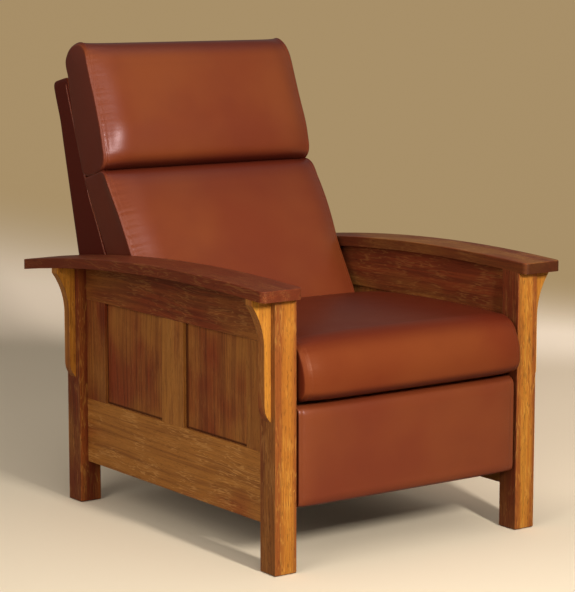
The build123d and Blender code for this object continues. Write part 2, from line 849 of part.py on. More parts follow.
# footrest pad
with BuildPart() as footrest_pad:
    r = footrest_round
    back = footrest_pad_thick
    k = r * (1 - sqrt(1 / 2))
    pad_plan = [
        ("arc", (k, footrest_low + k), (0, footrest_low + r)),
        ("arc", (-soft_gap, footrest_low + footrest_tall / 2), (0, footrest_top - r)),
        ("arc", (k, footrest_top - k), (r, footrest_top)),
        ("line", (back, footrest_top)),
        ("line", (back, footrest_low)),
        ("line", (r, footrest_low)),
    ]
    pad_weights = [0, 1 / 2, 1, 1 / 2, 0, 0, 0, 0, 0]
    pad_core = ((back / 2, footrest_low + back / 2), (back / 2, footrest_top - back / 2))
    loft_cushion(side_plane, soft_half, pad_plan, pad_core, footrest_crown, pad_weights)
save(footrest_pad, "footrest_pad")

# seat cushion, whose front rolls down over the front rail
seat_low = deck_low + deck_thick + soft_gap
with BuildPart() as seat_cushion:
    s = seat_roll_small
    seat_rear = seat_frame_rear
    lip_back = flange_front - 2 * soft_gap
    seat_deep = seat_top - seat_low
    seat_rear_top = seat_top - seat_rear_fall
    roll = seat_deep * 2 / 3
    seat_plan = [
        ("arc", (-s * 2 / 3, lip_low + s / 4), (-s, lip_low + s)),
        ("arc", (-s - soft_gap, (lip_low + s + seat_top - roll) / 2), (-s, seat_top - roll)),
        ("arc", (-s + roll / 9, seat_top - roll / 2), (roll / 3, seat_top - roll / 8)),
        ("arc", (roll * 2 / 3, seat_top - roll / 30), (roll * 5 / 4, seat_top)),
        ("arc", (seat_rear / 3, seat_top + soft_gap), (seat_rear * 3 / 5, seat_top - soft_gap)),
        ("arc", (seat_rear * 4 / 5, seat_top - seat_rear_fall / 2), (seat_rear - s, seat_rear_top)),
        ("arc", (seat_rear - s / 3, seat_rear_top - s / 3), (seat_rear, seat_rear_top - s)),
        ("line", (seat_rear - seat_deep / 3, seat_low)),
        ("line", (lip_back, seat_low)),
        ("line", (lip_back, lip_low)),
        ("line", (0, lip_low)),
    ]
    seat_weights = [1 / 2] + [front_crown_share] * 4 + [1] * 7 + [1 / 2, 1 / 4] + [0] * 4
    seat_core = ((roll, seat_low + seat_deep / 2), (seat_rear - roll, seat_low + seat_deep / 3))
    loft_cushion(side_plane, soft_half, seat_plan, seat_core, seat_crown, seat_weights)
save(seat_cushion, "seat_cushion")


def back_outline(plane, inset, front_out):
    """The side outline of the back, drawn in by an inset, its front line moved out."""
    rear_in = inset / cos(rear_angle)
    top_in = inset / cos(top_angle)
    front_top = on_line(crown_point, head_lean, front_out, 0)
    top_front_high = front_top[1] - top_in
    rear_top_high = cover_top_rear[1] - top_in
    points = [
        (back_front_low - front_out, back_low + inset),
        on_line(foot, lumbar_lean, front_out, 0),
        on_line(knee, (lumbar_lean + head_lean) / 2, front_out, 0),
        (front_top[0], top_front_high),
        (cover_top_rear[0] - rear_in - top_in * rear_run, rear_top_high),
        (back_rear_low - rear_in + inset * rear_run, back_low + inset),
    ]
    with BuildSketch(plane) as face:
        with BuildLine():
            Polyline(*points, close=True)
        make_face()
        corner = face.vertices().sort_by(Axis.Y)[-2:].sort_by(Axis.X)[-1]
        fillet(corner, back_top_round - inset)
    return face.sketch


with BuildPart() as back_cover:
    extrude(back_outline(side_plane(-back_half), 0, 0), amount=2 * back_half)
    hollow_half = back_half - cover_thick
    hollow = back_outline(side_plane(-hollow_half), cover_thick, overrun)
    extrude(hollow, amount=2 * hollow_half, mode=Mode.SUBTRACT)
save(back_cover, "back_cover")

back_rail_outer = main_inner_x
back_rail_inner = back_rail_outer - back_rail_thick
for side, hand in sides:
    x_a, x_b = across(side, back_rail_inner, back_rail_outer)
    with BuildPart() as back_side_rail:
        extrude(back_outline(side_plane(x_a), cover_thick + soft_gap, -soft_gap), amount=back_rail_thick)
    save(back_side_rail, f"back_side_rail_{hand}")

cross_half = back_rail_inner


def cross_rail(origin, lean, up):
    """A rail across the back, set behind the front line."""
    with BuildSketch(side_plane(-cross_half)) as face:
        with BuildLine():
            Polyline(
                on_line(origin, lean, -cross_rail_set, up),
                on_line(origin, lean, -cross_rail_set, up + cross_rail_tall),
                on_line(origin, lean, -cross_rail_set - cross_rail_thick, up + cross_rail_tall),
                on_line(origin, lean, -cross_rail_set - cross_rail_thick, up),
                close=True,
            )
        make_face()
    extrude(face.sketch, amount=2 * cross_half)


with BuildPart() as back_bottom_rail:
    cross_rail(foot, lumbar_lean, 0)
save(back_bottom_rail, "back_bottom_rail")

with BuildPart() as back_middle_rail:
    cross_rail(foot, lumbar_lean, lumbar_length - cross_rail_tall)
save(back_middle_rail, "back_middle_rail")

with BuildPart() as back_top_rail:
    cross_rail(knee, head_lean, head_length - cross_rail_tall - back_top_fall)
save(back_top_rail, "back_top_rail")

with BuildPart() as back_springs:
    t_dir, n_dir = line_dirs(lumbar_lean)
    low = on_line(foot, lumbar_lean, -cross_rail_set, 0)
    spring_plane = Plane(
        origin=(0, front_y + low[0], low[1]), x_dir=(1, 0, 0), z_dir=(0, n_dir[0], n_dir[1])
    )
    for x in spring_places(back_spring_count, cross_half):
        with BuildSketch(spring_plane) as zigzag:
            with BuildLine() as path:
                FilletPolyline(
                    *spring_line(x, cross_rail_tall / 2, lumbar_length - cross_rail_tall / 2),
                    radius=spring_bend,
                )
            trace(path.line, line_width=wire)
        extrude(zigzag.sketch, amount=wire)
save(back_springs, "back_springs")

# brackets that hang the back on its pivots
for side, hand in sides:
    x_a, x_b = across(side, main_inner_x, main_outer_x)
    plate_front = on_line(foot, lumbar_lean, -cross_rail_set, 0)
    plate_high = on_line(foot, lumbar_lean, -cross_rail_set, bracket_rise)
    with BuildPart() as back_bracket:
        with BuildSketch(side_plane(x_a)):
            with BuildLine():
                Polyline(
                    (back_pivot_depth, back_pivot_high + ear_radius),
                    plate_front,
                    plate_high,
                    (plate_high[0] + 2 * ear_radius, plate_high[1]),
                    (plate_high[0] + ear_radius, back_pivot_high - ear_radius),
                    (back_pivot_depth, back_pivot_high - ear_radius),
                    close=True,
                )
            make_face()
            with Locations((back_pivot_depth, back_pivot_high)):
                Circle(ear_radius)
                Circle(back_pivot_radius + stud_play, mode=Mode.SUBTRACT)
        extrude(amount=plate_thick)
    save(back_bracket, f"back_bracket_{hand}")


# pillows, drawn as shares of their thickness and of the stretch of line that they cover
def pillow_plan(origin, lean, thick, tall, stretches):
    plan = []
    for kind, *points in stretches:
        plan.append((kind, *[on_line(origin, lean, soft_gap + out * thick, up * tall) for out, up in points]))
    return plan


lumbar_shares = [
    ("arc", (0.90, -0.03), (1.07, 0.05)),
    ("arc", (1.03, 0.30), (0.96, 0.62)),
    ("arc", (0.91, 0.78), (0.88, 0.885)),
    ("arc", (0.81, 0.94), (0.62, 0.958)),
    ("line", (0.0, 1.0)),
    ("line", (0.0, 0.0)),
    ("line", (0.62, -0.05)),
]
lumbar_weights = [1 / 4, 1 / 3, 4 / 5, 1, 1, 4 / 5, 1 / 4, 0, 0, 0, 0]
lumbar_core_shares = ((1 / 2, 1 / 8), (1 / 2, 7 / 8))
lumbar_tall = lumbar_length - pillow_crease
with BuildPart() as lumbar_pillow:
    plan = pillow_plan(foot, lumbar_lean, lumbar_thick, lumbar_tall, lumbar_shares)
    core = [on_line(foot, lumbar_lean, a * lumbar_thick, b * lumbar_tall) for a, b in lumbar_core_shares]
    loft_cushion(side_plane, back_half, plan, core, lumbar_crown, lumbar_weights)
save(lumbar_pillow, "lumbar_pillow")

head_shares = [
    ("arc", (0.95, 0.03), (1.0, 0.08)),
    ("arc", (1.02, 0.36), (1.0, 0.68)),
    ("arc", (0.98, 0.82), (0.88, 0.90)),
    ("arc", (0.78, 0.965), (0.62, 0.993)),
    ("arc", (0.36, 1.0), (0.10, 0.96)),
    ("arc", (-0.10, 0.93), (-0.10, 0.89)),
    ("arc", (-0.07, 0.84), (0.0, 0.80)),
    ("line", (0.0, 0.01)),
    ("line", (0.80, 0.01)),
]
head_weights = [1 / 4, 1 / 2, 1, 1, 3 / 4, 1 / 2, 1 / 4, 1 / 4, 0, 0, 0, 0, 0, 0, 0, 0]
head_core_shares = ((1 / 2, 1 / 6), (1 / 2, 5 / 6))
head_tall = head_length + head_over
with BuildPart() as head_pillow:
    plan = pillow_plan(knee, head_lean, head_thick, head_tall, head_shares)
    core = [on_line(knee, head_lean, a * head_thick, b * head_tall) for a, b in head_core_shares]
    loft_cushion(side_plane, back_half, plan, core, head_crown, head_weights)
save(head_pillow, "head_pillow")
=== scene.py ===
import json
import math
import bpy
import numpy as np
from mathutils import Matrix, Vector


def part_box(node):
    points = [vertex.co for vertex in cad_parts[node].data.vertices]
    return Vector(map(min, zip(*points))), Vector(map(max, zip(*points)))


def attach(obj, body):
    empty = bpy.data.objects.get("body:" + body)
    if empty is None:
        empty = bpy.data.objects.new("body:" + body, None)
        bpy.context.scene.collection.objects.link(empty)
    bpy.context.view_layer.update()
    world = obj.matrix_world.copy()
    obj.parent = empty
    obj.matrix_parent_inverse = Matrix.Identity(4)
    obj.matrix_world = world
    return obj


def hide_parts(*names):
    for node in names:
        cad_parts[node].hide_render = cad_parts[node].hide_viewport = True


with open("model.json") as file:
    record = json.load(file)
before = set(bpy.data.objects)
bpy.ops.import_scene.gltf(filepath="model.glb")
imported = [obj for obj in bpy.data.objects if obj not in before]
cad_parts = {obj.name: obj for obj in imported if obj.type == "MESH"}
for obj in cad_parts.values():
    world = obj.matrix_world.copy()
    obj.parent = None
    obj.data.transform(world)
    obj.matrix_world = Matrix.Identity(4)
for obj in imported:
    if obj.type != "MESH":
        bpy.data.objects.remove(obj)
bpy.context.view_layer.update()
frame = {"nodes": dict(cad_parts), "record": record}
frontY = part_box("front_post_left")[0].y      # depths are counted back from the front posts' faces
print("frame loaded,", len(frame["nodes"]), "nodes")


# shader wires

class Wire:
    # a socket in a shader tree; the operators add Math nodes, make adds any other node
    def __init__(self, tree, end=None):
        self.tree = tree
        self.end = end

    def make(self, kind, settings=None, inputs=None, out=0):
        node = self.tree.nodes.new("ShaderNode" + kind)
        for key, value in (settings or {}).items():
            setattr(node, key, value)
        for key, value in (inputs or {}).items():
            if isinstance(value, Wire):
                self.tree.links.new(value.end, node.inputs[key])
            else:
                node.inputs[key].default_value = value
        return Wire(self.tree, node.outputs[out] if len(node.outputs) else None)

    def maths(self, operation, *others):
        return self.make("Math", {"operation": operation}, dict(enumerate((self,) + others)))

    def vectorMaths(self, operation, other):
        return self.make("VectorMath", {"operation": operation}, {0: self, 1: other})

    def __add__(self, other):
        return self.maths("ADD", other)

    def __mul__(self, other):
        return self.maths("MULTIPLY", other)

    def __sub__(self, other):
        return self.maths("SUBTRACT", other)

    def __rsub__(self, other):
        return self.make("Math", {"operation": "SUBTRACT"}, {0: other, 1: self})

    __radd__ = __add__

    def between(self, low, high):
        # 0 below low, 1 above high, smooth from one to the other
        ends = {"Value": self, "From Min": low, "From Max": high}
        return self.make("MapRange", {"interpolation_type": "SMOOTHSTEP"}, ends)

    def tint(self, colourA, colourB):
        # colourA where this value is 0, colourB where it is 1
        return self.make("Mix", {"data_type": "RGBA"}, {0: self, 6: colourA, 7: colourB}, 2)

    def mixed(self, share, colour):
        # this colour with a fixed share of another in it
        return self.make("Mix", {"data_type": "RGBA"}, {0: share, 6: self, 7: colour}, 2)

    def axis(self, name):
        return self.make("SeparateXYZ", None, {"Vector": self}, name)

    def mapped(self, scale=(1, 1, 1), moved=(0, 0, 0), turned=(0, 0, 0)):
        places = {"Vector": self, "Location": moved, "Rotation": turned, "Scale": scale}
        return self.make("Mapping", None, places)

    def noise(self, scale, detail=2.0, rough=0.5, out=0):
        looks = {"Vector": self, "Scale": scale, "Detail": detail, "Roughness": rough}
        return self.make("TexNoise", None, looks, out)

    def bump(self, strength, depth):
        return self.make("Bump", None, {"Strength": strength, "Distance": depth, "Height": self})


def newMaterial(name):
    material = bpy.data.materials.new(name)
    material.use_nodes = True
    material.node_tree.nodes.clear()
    return material, Wire(material.node_tree)


def finishMaterial(start, sockets):
    start.make("OutputMaterial", None, {"Surface": start.make("BsdfPrincipled", None, sockets)})


def rgb(r, g, b):
    # a colour as it looks on screen, 0 to 255, made linear
    linear = [((c / 255 + 0.055) / 1.055) ** 2.4 if c > 10 else c / 255 / 12.92 for c in (r, g, b)]
    return (*linear, 1.0)


# oak

# a scale is in bumps per metre, along the grain and both ways across it; a step is the low and the high
# end of a smooth step; sway, wave, footLine and depth are in metres, heart says how far aside and above
# the middle of the rings lies, and slide and apart move the figures by so much for each seed
oakLook = {
    "pale": rgb(186, 122, 56), "mid": rgb(148, 90, 42), "deep": rgb(72, 34, 18),
    "redPale": rgb(152, 68, 35), "redMid": rgb(110, 46, 25),
    "fleck": rgb(206, 148, 82), "pore": rgb(46, 24, 14), "shine": rgb(255, 226, 192),
    "slide": 1.7, "apart": (3.1, 1.3, 2.3),
    "swayScale": (2.2, 8, 8), "sway": (0.0, 0.03, 0.03),
    "waveScale": (14, 20, 20), "wave": (0.01, 0.009, 0.009),
    "cloudScale": (2.6, 10, 10), "redMiddle": 0.49, "redSpread": 0.13,
    "streakScale": (2.0, 120, 120), "toneStep": (0.34, 0.66), "streakStep": (0.54, 0.7),
    "fibreScale": (14, 560, 560), "fibreStep": (0.35, 0.72), "fibreDark": 0.2, "fibreHeight": 0.3,
    "poreScale": (60, 820, 820), "poreStep": (0.62, 0.7), "poreRough": 0.2,
    "fleckScale": (16, 200, 200), "fleckStep": (0.01, 0.06), "fleckHeight": 0.2, "fleckSmooth": 0.1,
    "patchScale": (12, 26, 26), "patchStep": (0.38, 0.6),
    "figureScale": (18, 90, 90),
    "ringStretch": (0.35, 1, 1),
    "heart": {"y": 0.05, "swingY": 0.02, "turnY": 5.1, "z": 0.06, "swingZ": 0.03, "turnZ": 3.7},
    "rings": {"Scale": 52.0, "Distortion": 2.2, "Detail": 2.0, "Detail Scale": 0.6},
    "darkest": 0.8, "faceStep": (0.6, 0.9), "insideStep": (0.5, 0.9), "inside": 0.3,
    "corner": 0.85, "footLine": (0.0035, 0.006), "rearLineFrom": 0.6,
    "roughness": 0.46, "bump": 0.3, "depth": 0.0005,
}
# the front and rear faces of posts and corbels: quarter-sawn figure, painted brighter and more golden,
# partly as painted light
quarterLightAndShadeLook = {
    "quarterPale": rgb(222, 152, 56), "quarterMid": rgb(190, 116, 42), "redPale": oakLook["redPale"],
    "redMid": oakLook["redMid"], "edge": rgb(150, 78, 36), "fleck": rgb(240, 180, 84),
    "perMetre": 36.0, "edgeStep": (0.3, 0.85), "cloudWander": 1.1, "streakWander": 0.7,
    "figureStep": (0.55, 0.66), "figureCloudStep": (0.5, 0.62), "figureDark": 0.45,
    "grainDark": 0.6, "fleckShare": 0.9,
}
grainTurns = {"x": (0, 0, 0), "y": (0, 0, -math.pi / 2), "z": (0, math.pi / 2, 0)}


def oakGrain(body, seed, wood, look):
    # the figures of one board, on coordinates turned so that x runs along its grain
    place = body.mapped(moved=(seed * look["slide"], 0, 0), turned=grainTurns[wood["grain"]])
    apart = [seed * move for move in look["apart"]]      # no two boards show the same stretch

    def noise(scale, vector, detail=2.0, rough=0.5, out=0):
        return vector.mapped(scale, apart).noise(1.0, detail, rough, out)

    def swayed(vector, scale, amount):
        # the vector moved about by a coloured noise
        move = noise(scale, vector, detail=1.0, out="Color").vectorMaths("SUBTRACT", (0.5, 0.5, 0.5))
        return vector.vectorMaths("ADD", move.vectorMaths("MULTIPLY", amount))

    bent = swayed(place, look["swayScale"], look["sway"])
    wavy = swayed(bent, look["waveScale"], look["wave"])
    at = look["heart"]
    heart = (0, at["y"] + at["swingY"] * math.sin(seed * at["turnY"]),
             at["z"] + at["swingZ"] * math.cos(seed * at["turnZ"]))
    rings = bent.make("TexWave", {"wave_type": "RINGS", "rings_direction": "X", "wave_profile": "SAW"},
                      dict(look["rings"], Vector=bent.mapped(look["ringStretch"], heart)), "Fac")
    contour = (noise(look["fleckScale"], wavy, detail=1.0) - 0.5).maths("ABSOLUTE")
    patches = noise(look["patchScale"], bent, detail=1.0).between(*look["patchStep"])
    flecks = (1.0 - contour.between(*look["fleckStep"])) * patches
    cloud = noise(wood.get("cloudScale", look["cloudScale"]), bent)
    streak = noise(look["streakScale"], bent, detail=3.0, rough=0.6)
    fibre = noise(look["fibreScale"], bent, detail=2.0, rough=0.6)
    fibreDark = fibre.between(*look["fibreStep"]) * look["fibreDark"]
    streakDark = streak.between(*look["streakStep"]) * wood["streak"]
    pores = noise(look["poreScale"], bent, detail=1.0).between(*look["poreStep"])
    return {
        "cloud": cloud, "streak": streak, "fibre": fibre, "figure": noise(look["figureScale"], wavy),
        "tones": (streak + (wood["tone"] - 0.5)).between(*look["toneStep"]),
        "dark": (rings * rings * wood["ring"] + fibreDark + streakDark).maths("MINIMUM", look["darkest"]),
        "flecks": flecks * wood["fleck"],
        "pores": pores * wood["pore"],
    }


def boardColour(grain, body, centre, wood, look):
    # clouds of red and yellow brown, paler and darker in streaks, under the dark grain and the pale flecks
    redness = grain["cloud"] + (wood["red"] - 0.5)
    if "lean" in wood:      # redder towards the rear edge of a panel
        redness = redness + (body.axis("Y") - centre[1]) * wood["lean"]
    spread = wood.get("redSpread", look["redSpread"])
    redness = redness.between(look["redMiddle"] - spread, look["redMiddle"] + spread)
    tones = grain["tones"]
    brown = tones.tint(look["mid"], look["pale"])
    colour = redness.tint(brown, tones.tint(look["redMid"], look["redPale"]))
    colour = grain["dark"].tint(colour, look["deep"])
    return grain["flecks"].tint(colour, look["fleck"])


def quarterLightAndShadeColour(grain, body, centre, wood, look, deep, darkest):
    # bright quarter-sawn oak, redder and darker towards the edges; its brightness is partly painted light
    mid, pale = wood["face"]
    wander = (grain["cloud"] - 0.5) * look["cloudWander"] + (grain["streak"] - 0.5) * look["streakWander"]
    offset = (body.axis("X") - centre[0]) * look["perMetre"] + wander
    edge = offset.maths("ABSOLUTE").between(*look["edgeStep"]) * wood["edge"]
    figure = grain["figure"].between(*look["figureStep"]) * grain["cloud"].between(*look["figureCloudStep"])
    dark = (grain["dark"] * look["grainDark"] + figure * look["figureDark"]).maths("MINIMUM", darkest)
    colour = edge.tint(grain["tones"].tint(look[mid], look[pale]), look["edge"])
    colour = dark.tint(colour, deep)
    return (grain["flecks"] * look["fleckShare"]).tint(colour, look["fleck"])


def panelRecessShade(body, recess, look):
    # 1 along the foot and the rear edge of a sunk panel, where painted shade darkens the recess
    low, back, width = recess
    foot = 1.0 - (body.axis("Z") - low).between(*look["footLine"])
    rear = 1.0 - (back - body.axis("Y")).between(width * look["rearLineFrom"], width)
    return foot.maths("MAXIMUM", rear)


def oakMaterial(name, seed, wood, centre, inward, recess=None, look=oakLook):
    # stained oak; wood says how much of each figure this board shows
    material, start = newMaterial(name)
    body = start.make("TexCoord", out="Object")
    normal = start.make("TexCoord", out="Normal")
    grain = oakGrain(body, seed, wood, look)
    colour = boardColour(grain, body, centre, wood, look)
    # partly painted light: the front and rear faces take the brighter, more golden quarter-sawn colour
    if "face" in wood:
        bright = quarterLightAndShadeColour(grain, body, centre, wood, quarterLightAndShadeLook, look["deep"], look["darkest"])
        colour = normal.axis("Y").maths("ABSOLUTE").between(*look["faceStep"]).tint(colour, bright)
    if recess:      # painted shade: the recess's shadow along the foot and rear edge
        colour = (panelRecessShade(body, recess, look) * look["corner"]).tint(colour, look["deep"])
    # painted shade: the faces turned to the seat are darkened for the shade inside the chair, and the far
    # arm's end grain is darker too
    inside = (normal.axis("X") * inward).between(*look["insideStep"]) * wood.get("inside", look["inside"])
    colour = inside.tint(colour, look["deep"])
    if "end" in wood:
        ends = normal.axis("Y").maths("ABSOLUTE").between(*look["faceStep"]) * wood["end"]
        colour = ends.tint(colour, look["deep"])
    height = grain["fibre"] * look["fibreHeight"] - grain["pores"] + grain["flecks"] * look["fleckHeight"]
    rough = look["roughness"] + grain["pores"] * look["poreRough"] - grain["flecks"] * look["fleckSmooth"]
    finishMaterial(start, {
        "Base Color": grain["pores"].tint(colour, look["pore"]), "Roughness": rough,
        "Normal": height.bump(look["bump"], look["depth"]),
        "IOR": 1.4, "Specular IOR Level": 0.4, "Specular Tint": look["shine"]})
    return material


# unfinished wood, leather, metal, cloth and thread

innerWoodLook = {
    "light": rgb(190, 152, 104), "dark": rgb(140, 100, 62), "along": 3, "across": 90, "step": (0.3, 0.7),
    "roughness": 0.7, "bump": 0.2, "depth": 0.0005,
}


def innerWood(name, axis, look=innerWoodLook):
    # the plain wood of the inner rails, its grain along one axis
    material, start = newMaterial(name)
    scale = [look["along"] if axis == other else look["across"] for other in "xyz"]
    grain = start.make("TexCoord", out="Object").mapped(scale).noise(1.0, detail=3.0)
    finishMaterial(start, {
        "Base Color": grain.between(*look["step"]).tint(look["light"], look["dark"]),
        "Roughness": look["roughness"], "Normal": grain.bump(look["bump"], look["depth"])})
    return material


leatherLook = {
    "mid": rgb(126, 56, 29), "warm": rgb(137, 69, 34), "dark": rgb(84, 28, 18), "worn": rgb(92, 30, 18),
    "deep": rgb(62, 12, 12), "sheen": rgb(250, 226, 236),
    "dyeScale": 3.2, "dyeStep": (0.35, 0.68),
    "mottleScale": 9.0, "mottleStep": (0.4, 0.8), "mottleDark": 0.09, "mottleRough": 0.12,
    "topStep": (0.42, 0.86), "endStep": (0.8, 0.98), "endDye": 0.72, "underStep": (0.12, 0.75),
    "pebbleScale": 620.0, "pebbleSmooth": 0.6, "pebble": 0.10, "creaseScale": 190.0, "crease": 0.12,
    "gatherScale": (85, 14, 1), "gather": 1.21, "gatherReach": 0.045,
    "roughness": 0.28, "bump": 0.5, "depth": 0.0016,
}


def leatherMaterial(name, look=leatherLook, darker=0.0, worn=0.0, gloss=0.5, under=0.75):
    # waxy red-brown leather: a mottled dye, a fine pebble, and gathers that run out from the seams;
    # darker mixes in a share of the dark colour, and the tops, the end panels and what faces the floor
    # are darkened as painted shade
    material, start = newMaterial(name)
    place = start.make("TexCoord", out="Object")
    normal = start.make("TexCoord", out="Normal")
    seam = start.make("UVMap", {"uv_map": "seam"})      # x runs along the seam, y away from it, in metres
    mottle = place.noise(look["mottleScale"], detail=3.0, rough=0.6)
    up = normal.axis("Z")
    aside = normal.axis("X").maths("ABSOLUTE")
    dye = place.noise(look["dyeScale"], detail=3.0)
    colour = dye.between(*look["dyeStep"]).tint(look["mid"], look["warm"])
    colour = (mottle.between(*look["mottleStep"]) * look["mottleDark"]).tint(colour, look["dark"])
    # painted shade: the tops, the end panels and what faces the floor are darkened
    colour = (up.between(*look["topStep"]) * worn).tint(colour, look["worn"])
    colour = (aside.between(*look["endStep"]) * look["endDye"]).tint(colour, look["dark"])
    colour = ((0.0 - up).between(*look["underStep"]) * under).tint(colour, look["deep"])
    pebble = place.make("TexVoronoi", {"feature": "SMOOTH_F1"}, {
        "Vector": place, "Scale": look["pebbleScale"], "Smoothness": look["pebbleSmooth"]})
    crease = place.noise(look["creaseScale"], detail=3.0)
    nearSeam = 1.0 - seam.axis("Y").between(0.0, look["gatherReach"])
    folds = seam.mapped(look["gatherScale"]).noise(1.0) * nearSeam
    height = pebble * look["pebble"] + crease * look["crease"] + folds * look["gather"]
    finishMaterial(start, {
        "Base Color": colour.mixed(darker, look["dark"]),
        "Roughness": look["roughness"] + mottle * look["mottleRough"],
        "Normal": height.bump(look["bump"], look["depth"]),
        "IOR": 1.45, "Specular IOR Level": gloss, "Specular Tint": look["sheen"]})
    return material


unevenLook = {
    "darker": 0.7, "step": (0.4, 0.8), "share": 0.5, "rough": 0.15, "smoother": 0.07, "depth": 0.0004,
}


def plainMaterial(name, colour, roughness, metallic=0.0, bump=0.0, scale=300.0, look=unevenLook):
    # a plain finish with a faint unevenness in its colour and gloss
    material, start = newMaterial(name)
    uneven = start.make("TexCoord", out="Object").noise(scale)
    darker = (*(c * look["darker"] for c in colour[:3]), 1.0)
    finishMaterial(start, {
        "Base Color": (uneven.between(*look["step"]) * look["share"]).tint(colour, darker),
        "Metallic": metallic,
        "Roughness": uneven * look["rough"] + (roughness - look["smoother"]),
        "Normal": uneven.bump(bump, look["depth"])})
    return material


leather = leatherMaterial("leather", worn=0.8)
footLeather = leatherMaterial("footLeather", darker=0.12, worn=0.4, under=0.2)
# painted shade: the cover's end panels are darkened almost to the dark colour
coverHide = dict(leatherLook, endDye=0.97)
coverLeather = leatherMaterial("coverLeather", coverHide, darker=0.2, gloss=0.12, under=0.2)
seatHide = dict(leatherLook, sheen=rgb(255, 196, 168))
seatLeather = leatherMaterial("seatLeather", seatHide, darker=0.2, worn=0.75, gloss=0.16)
blackSteel = plainMaterial("blackSteel", rgb(38, 38, 40), 0.42, bump=0.25)
brightSteel = plainMaterial("brightSteel", rgb(190, 190, 192), 0.34, 1.0, 0.05)
blackCloth = plainMaterial("blackCloth", rgb(34, 33, 33), 0.9, bump=0.6, scale=700.0)
brownNylon = plainMaterial("brownNylon", rgb(110, 84, 58), 0.5)
threadFinish = plainMaterial("thread", rgb(150, 88, 62), 0.6)
innerX = innerWood("innerWoodAcross", "x")
innerY = innerWood("innerWoodAlong", "y")
innerZ = innerWood("innerWoodUpright", "z")
print("materials made")


# the frame and the mechanism keep their shapes and get their finishes

litQuarterFace = ("quarterMid", "quarterPale")
woods = {
    "post": dict(grain="z", tone=0.4, red=0.58, ring=0.3, streak=0.35, fleck=0.35, pore=0.6,
                 edge=0.85, face=litQuarterFace),
    # painted shade: the rear posts' front and rear faces are redder and darker, for the shade they stand in
    "rearPost": dict(grain="z", tone=0.42, red=0.6, ring=0.3, streak=0.35, fleck=0.3, pore=0.6,
                     edge=1.0, face=("redMid", "redPale")),
    "corbel": dict(grain="z", tone=0.56, red=0.4, ring=0.2, streak=0.2, fleck=0.3, pore=0.5,
                   edge=0.2, face=litQuarterFace),
    "stile": dict(grain="z", tone=0.44, red=0.56, ring=0.15, streak=0.35, fleck=0.15, pore=0.5),
    "mullion": dict(grain="z", tone=0.56, red=0.36, ring=0.15, streak=0.25, fleck=0.2, pore=0.4),
    "panel": dict(grain="z", tone=0.5, red=0.5, ring=0.1, streak=0.35, fleck=0.12, pore=0.4,
                  lean=0.7, cloudScale=(6.0, 7.0, 7.0), redSpread=0.2),
    "bottom": dict(grain="y", tone=0.56, red=0.32, ring=0.05, streak=0.12, fleck=0.7, pore=0.4),
    "top": dict(grain="y", tone=0.44, red=0.56, ring=0.1, streak=0.2, fleck=0.26, pore=0.4),
    "arm": dict(grain="y", tone=0.36, red=0.78, ring=0.12, streak=0.3, fleck=0.16, pore=0.4),
    "farArm": dict(grain="y", tone=0.43, red=0.58, ring=0.12, streak=0.25, fleck=0.3, pore=0.4,
                   end=0.85, inside=0.65),
    "stretcher": dict(grain="x", tone=0.45, red=0.45, ring=0.2, streak=0.3, fleck=0.2, pore=0.4),
}
kindOf = {"rear_post_left": "rearPost", "rear_post_right": "rearPost", "arm_right": "farArm"}
finishOf = {"steel": blackSteel, "bright_steel": brightSteel, "deck_cloth": blackCloth, "glide": brownNylon}
slotOf = {s["node"]: s["material_slot"] for s in frame["record"]["subparts"]}
seedStep = 0.37      # from one board's figures to the next one's
rearLines = {"front": 0.013, "rear": 0.005}      # how wide the painted shade line at a panel's rear edge is


def panelRecess(node):
    # the height of a panel's foot, the depth of its rear edge and the width of the line there
    which, _, side = node.split("_")
    behind = {"front": "mullion_", "rear": "rear_stile_"}[which] + side
    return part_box("bottom_rail_" + side)[1].z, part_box(behind)[0].y, rearLines[which]


def oakFor(node, number):
    kind = kindOf.get(node) or next(k for k in woods if k in node.split("_"))
    low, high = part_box(node)
    inward = -1.0 if node.endswith("right") else 1.0
    recess = panelRecess(node) if kind == "panel" else None
    seed = 1.0 + number * seedStep
    return oakMaterial("oak." + node, seed, woods[kind], (low + high) / 2, inward, recess)


def innerFor(node):
    if node.startswith("back_side_rail"):
        return innerZ
    return innerY if "seat_side" in node or "cleats" in node else innerX


def wear(node, material):
    mesh = frame["nodes"][node].data
    mesh.materials.clear()
    mesh.materials.append(material)


for number, node in enumerate(sorted(frame["nodes"])):
    if slotOf[node] == "oak":
        wear(node, oakFor(node, number))
    elif slotOf[node] == "inner_wood":
        wear(node, innerFor(node))
    elif slotOf[node] in finishOf:
        wear(node, finishOf[slotOf[node]])
print("wood and metal dressed")


# meshes

def gridFaces(rows, columns, wrap=True):
    # quads between neighbouring points of a grid; with wrap, the last column joins the first
    row = np.arange(rows - 1)[:, None] * columns
    column = np.arange(columns if wrap else columns - 1)[None, :]
    beside = (column + 1) % columns
    corners = [row + column, row + beside, row + columns + beside, row + columns + column]
    return np.stack(corners, -1).reshape(-1, 4)


def meshPiece(name, points, faces, material, seam=None, caps=()):
    mesh = bpy.data.meshes.new(name)
    mesh.from_pydata(points.reshape(-1, 3).tolist(), [], faces.tolist() + list(caps))
    if seam is not None:
        layer = mesh.uv_layers.new(name="seam")
        layer.data.foreach_set("uv", seam.astype(np.float32).ravel())
    mesh.polygons.foreach_set("use_smooth", np.ones(len(mesh.polygons), bool))
    mesh.materials.append(material)
    piece = bpy.data.objects.new(name, mesh)
    bpy.context.scene.collection.objects.link(piece)
    mesh.update()
    return piece


def readPoints(mesh):
    points = np.empty(len(mesh.vertices) * 3, np.float32)
    mesh.vertices.foreach_get("co", points)
    return points.reshape(-1, 3).astype(float)


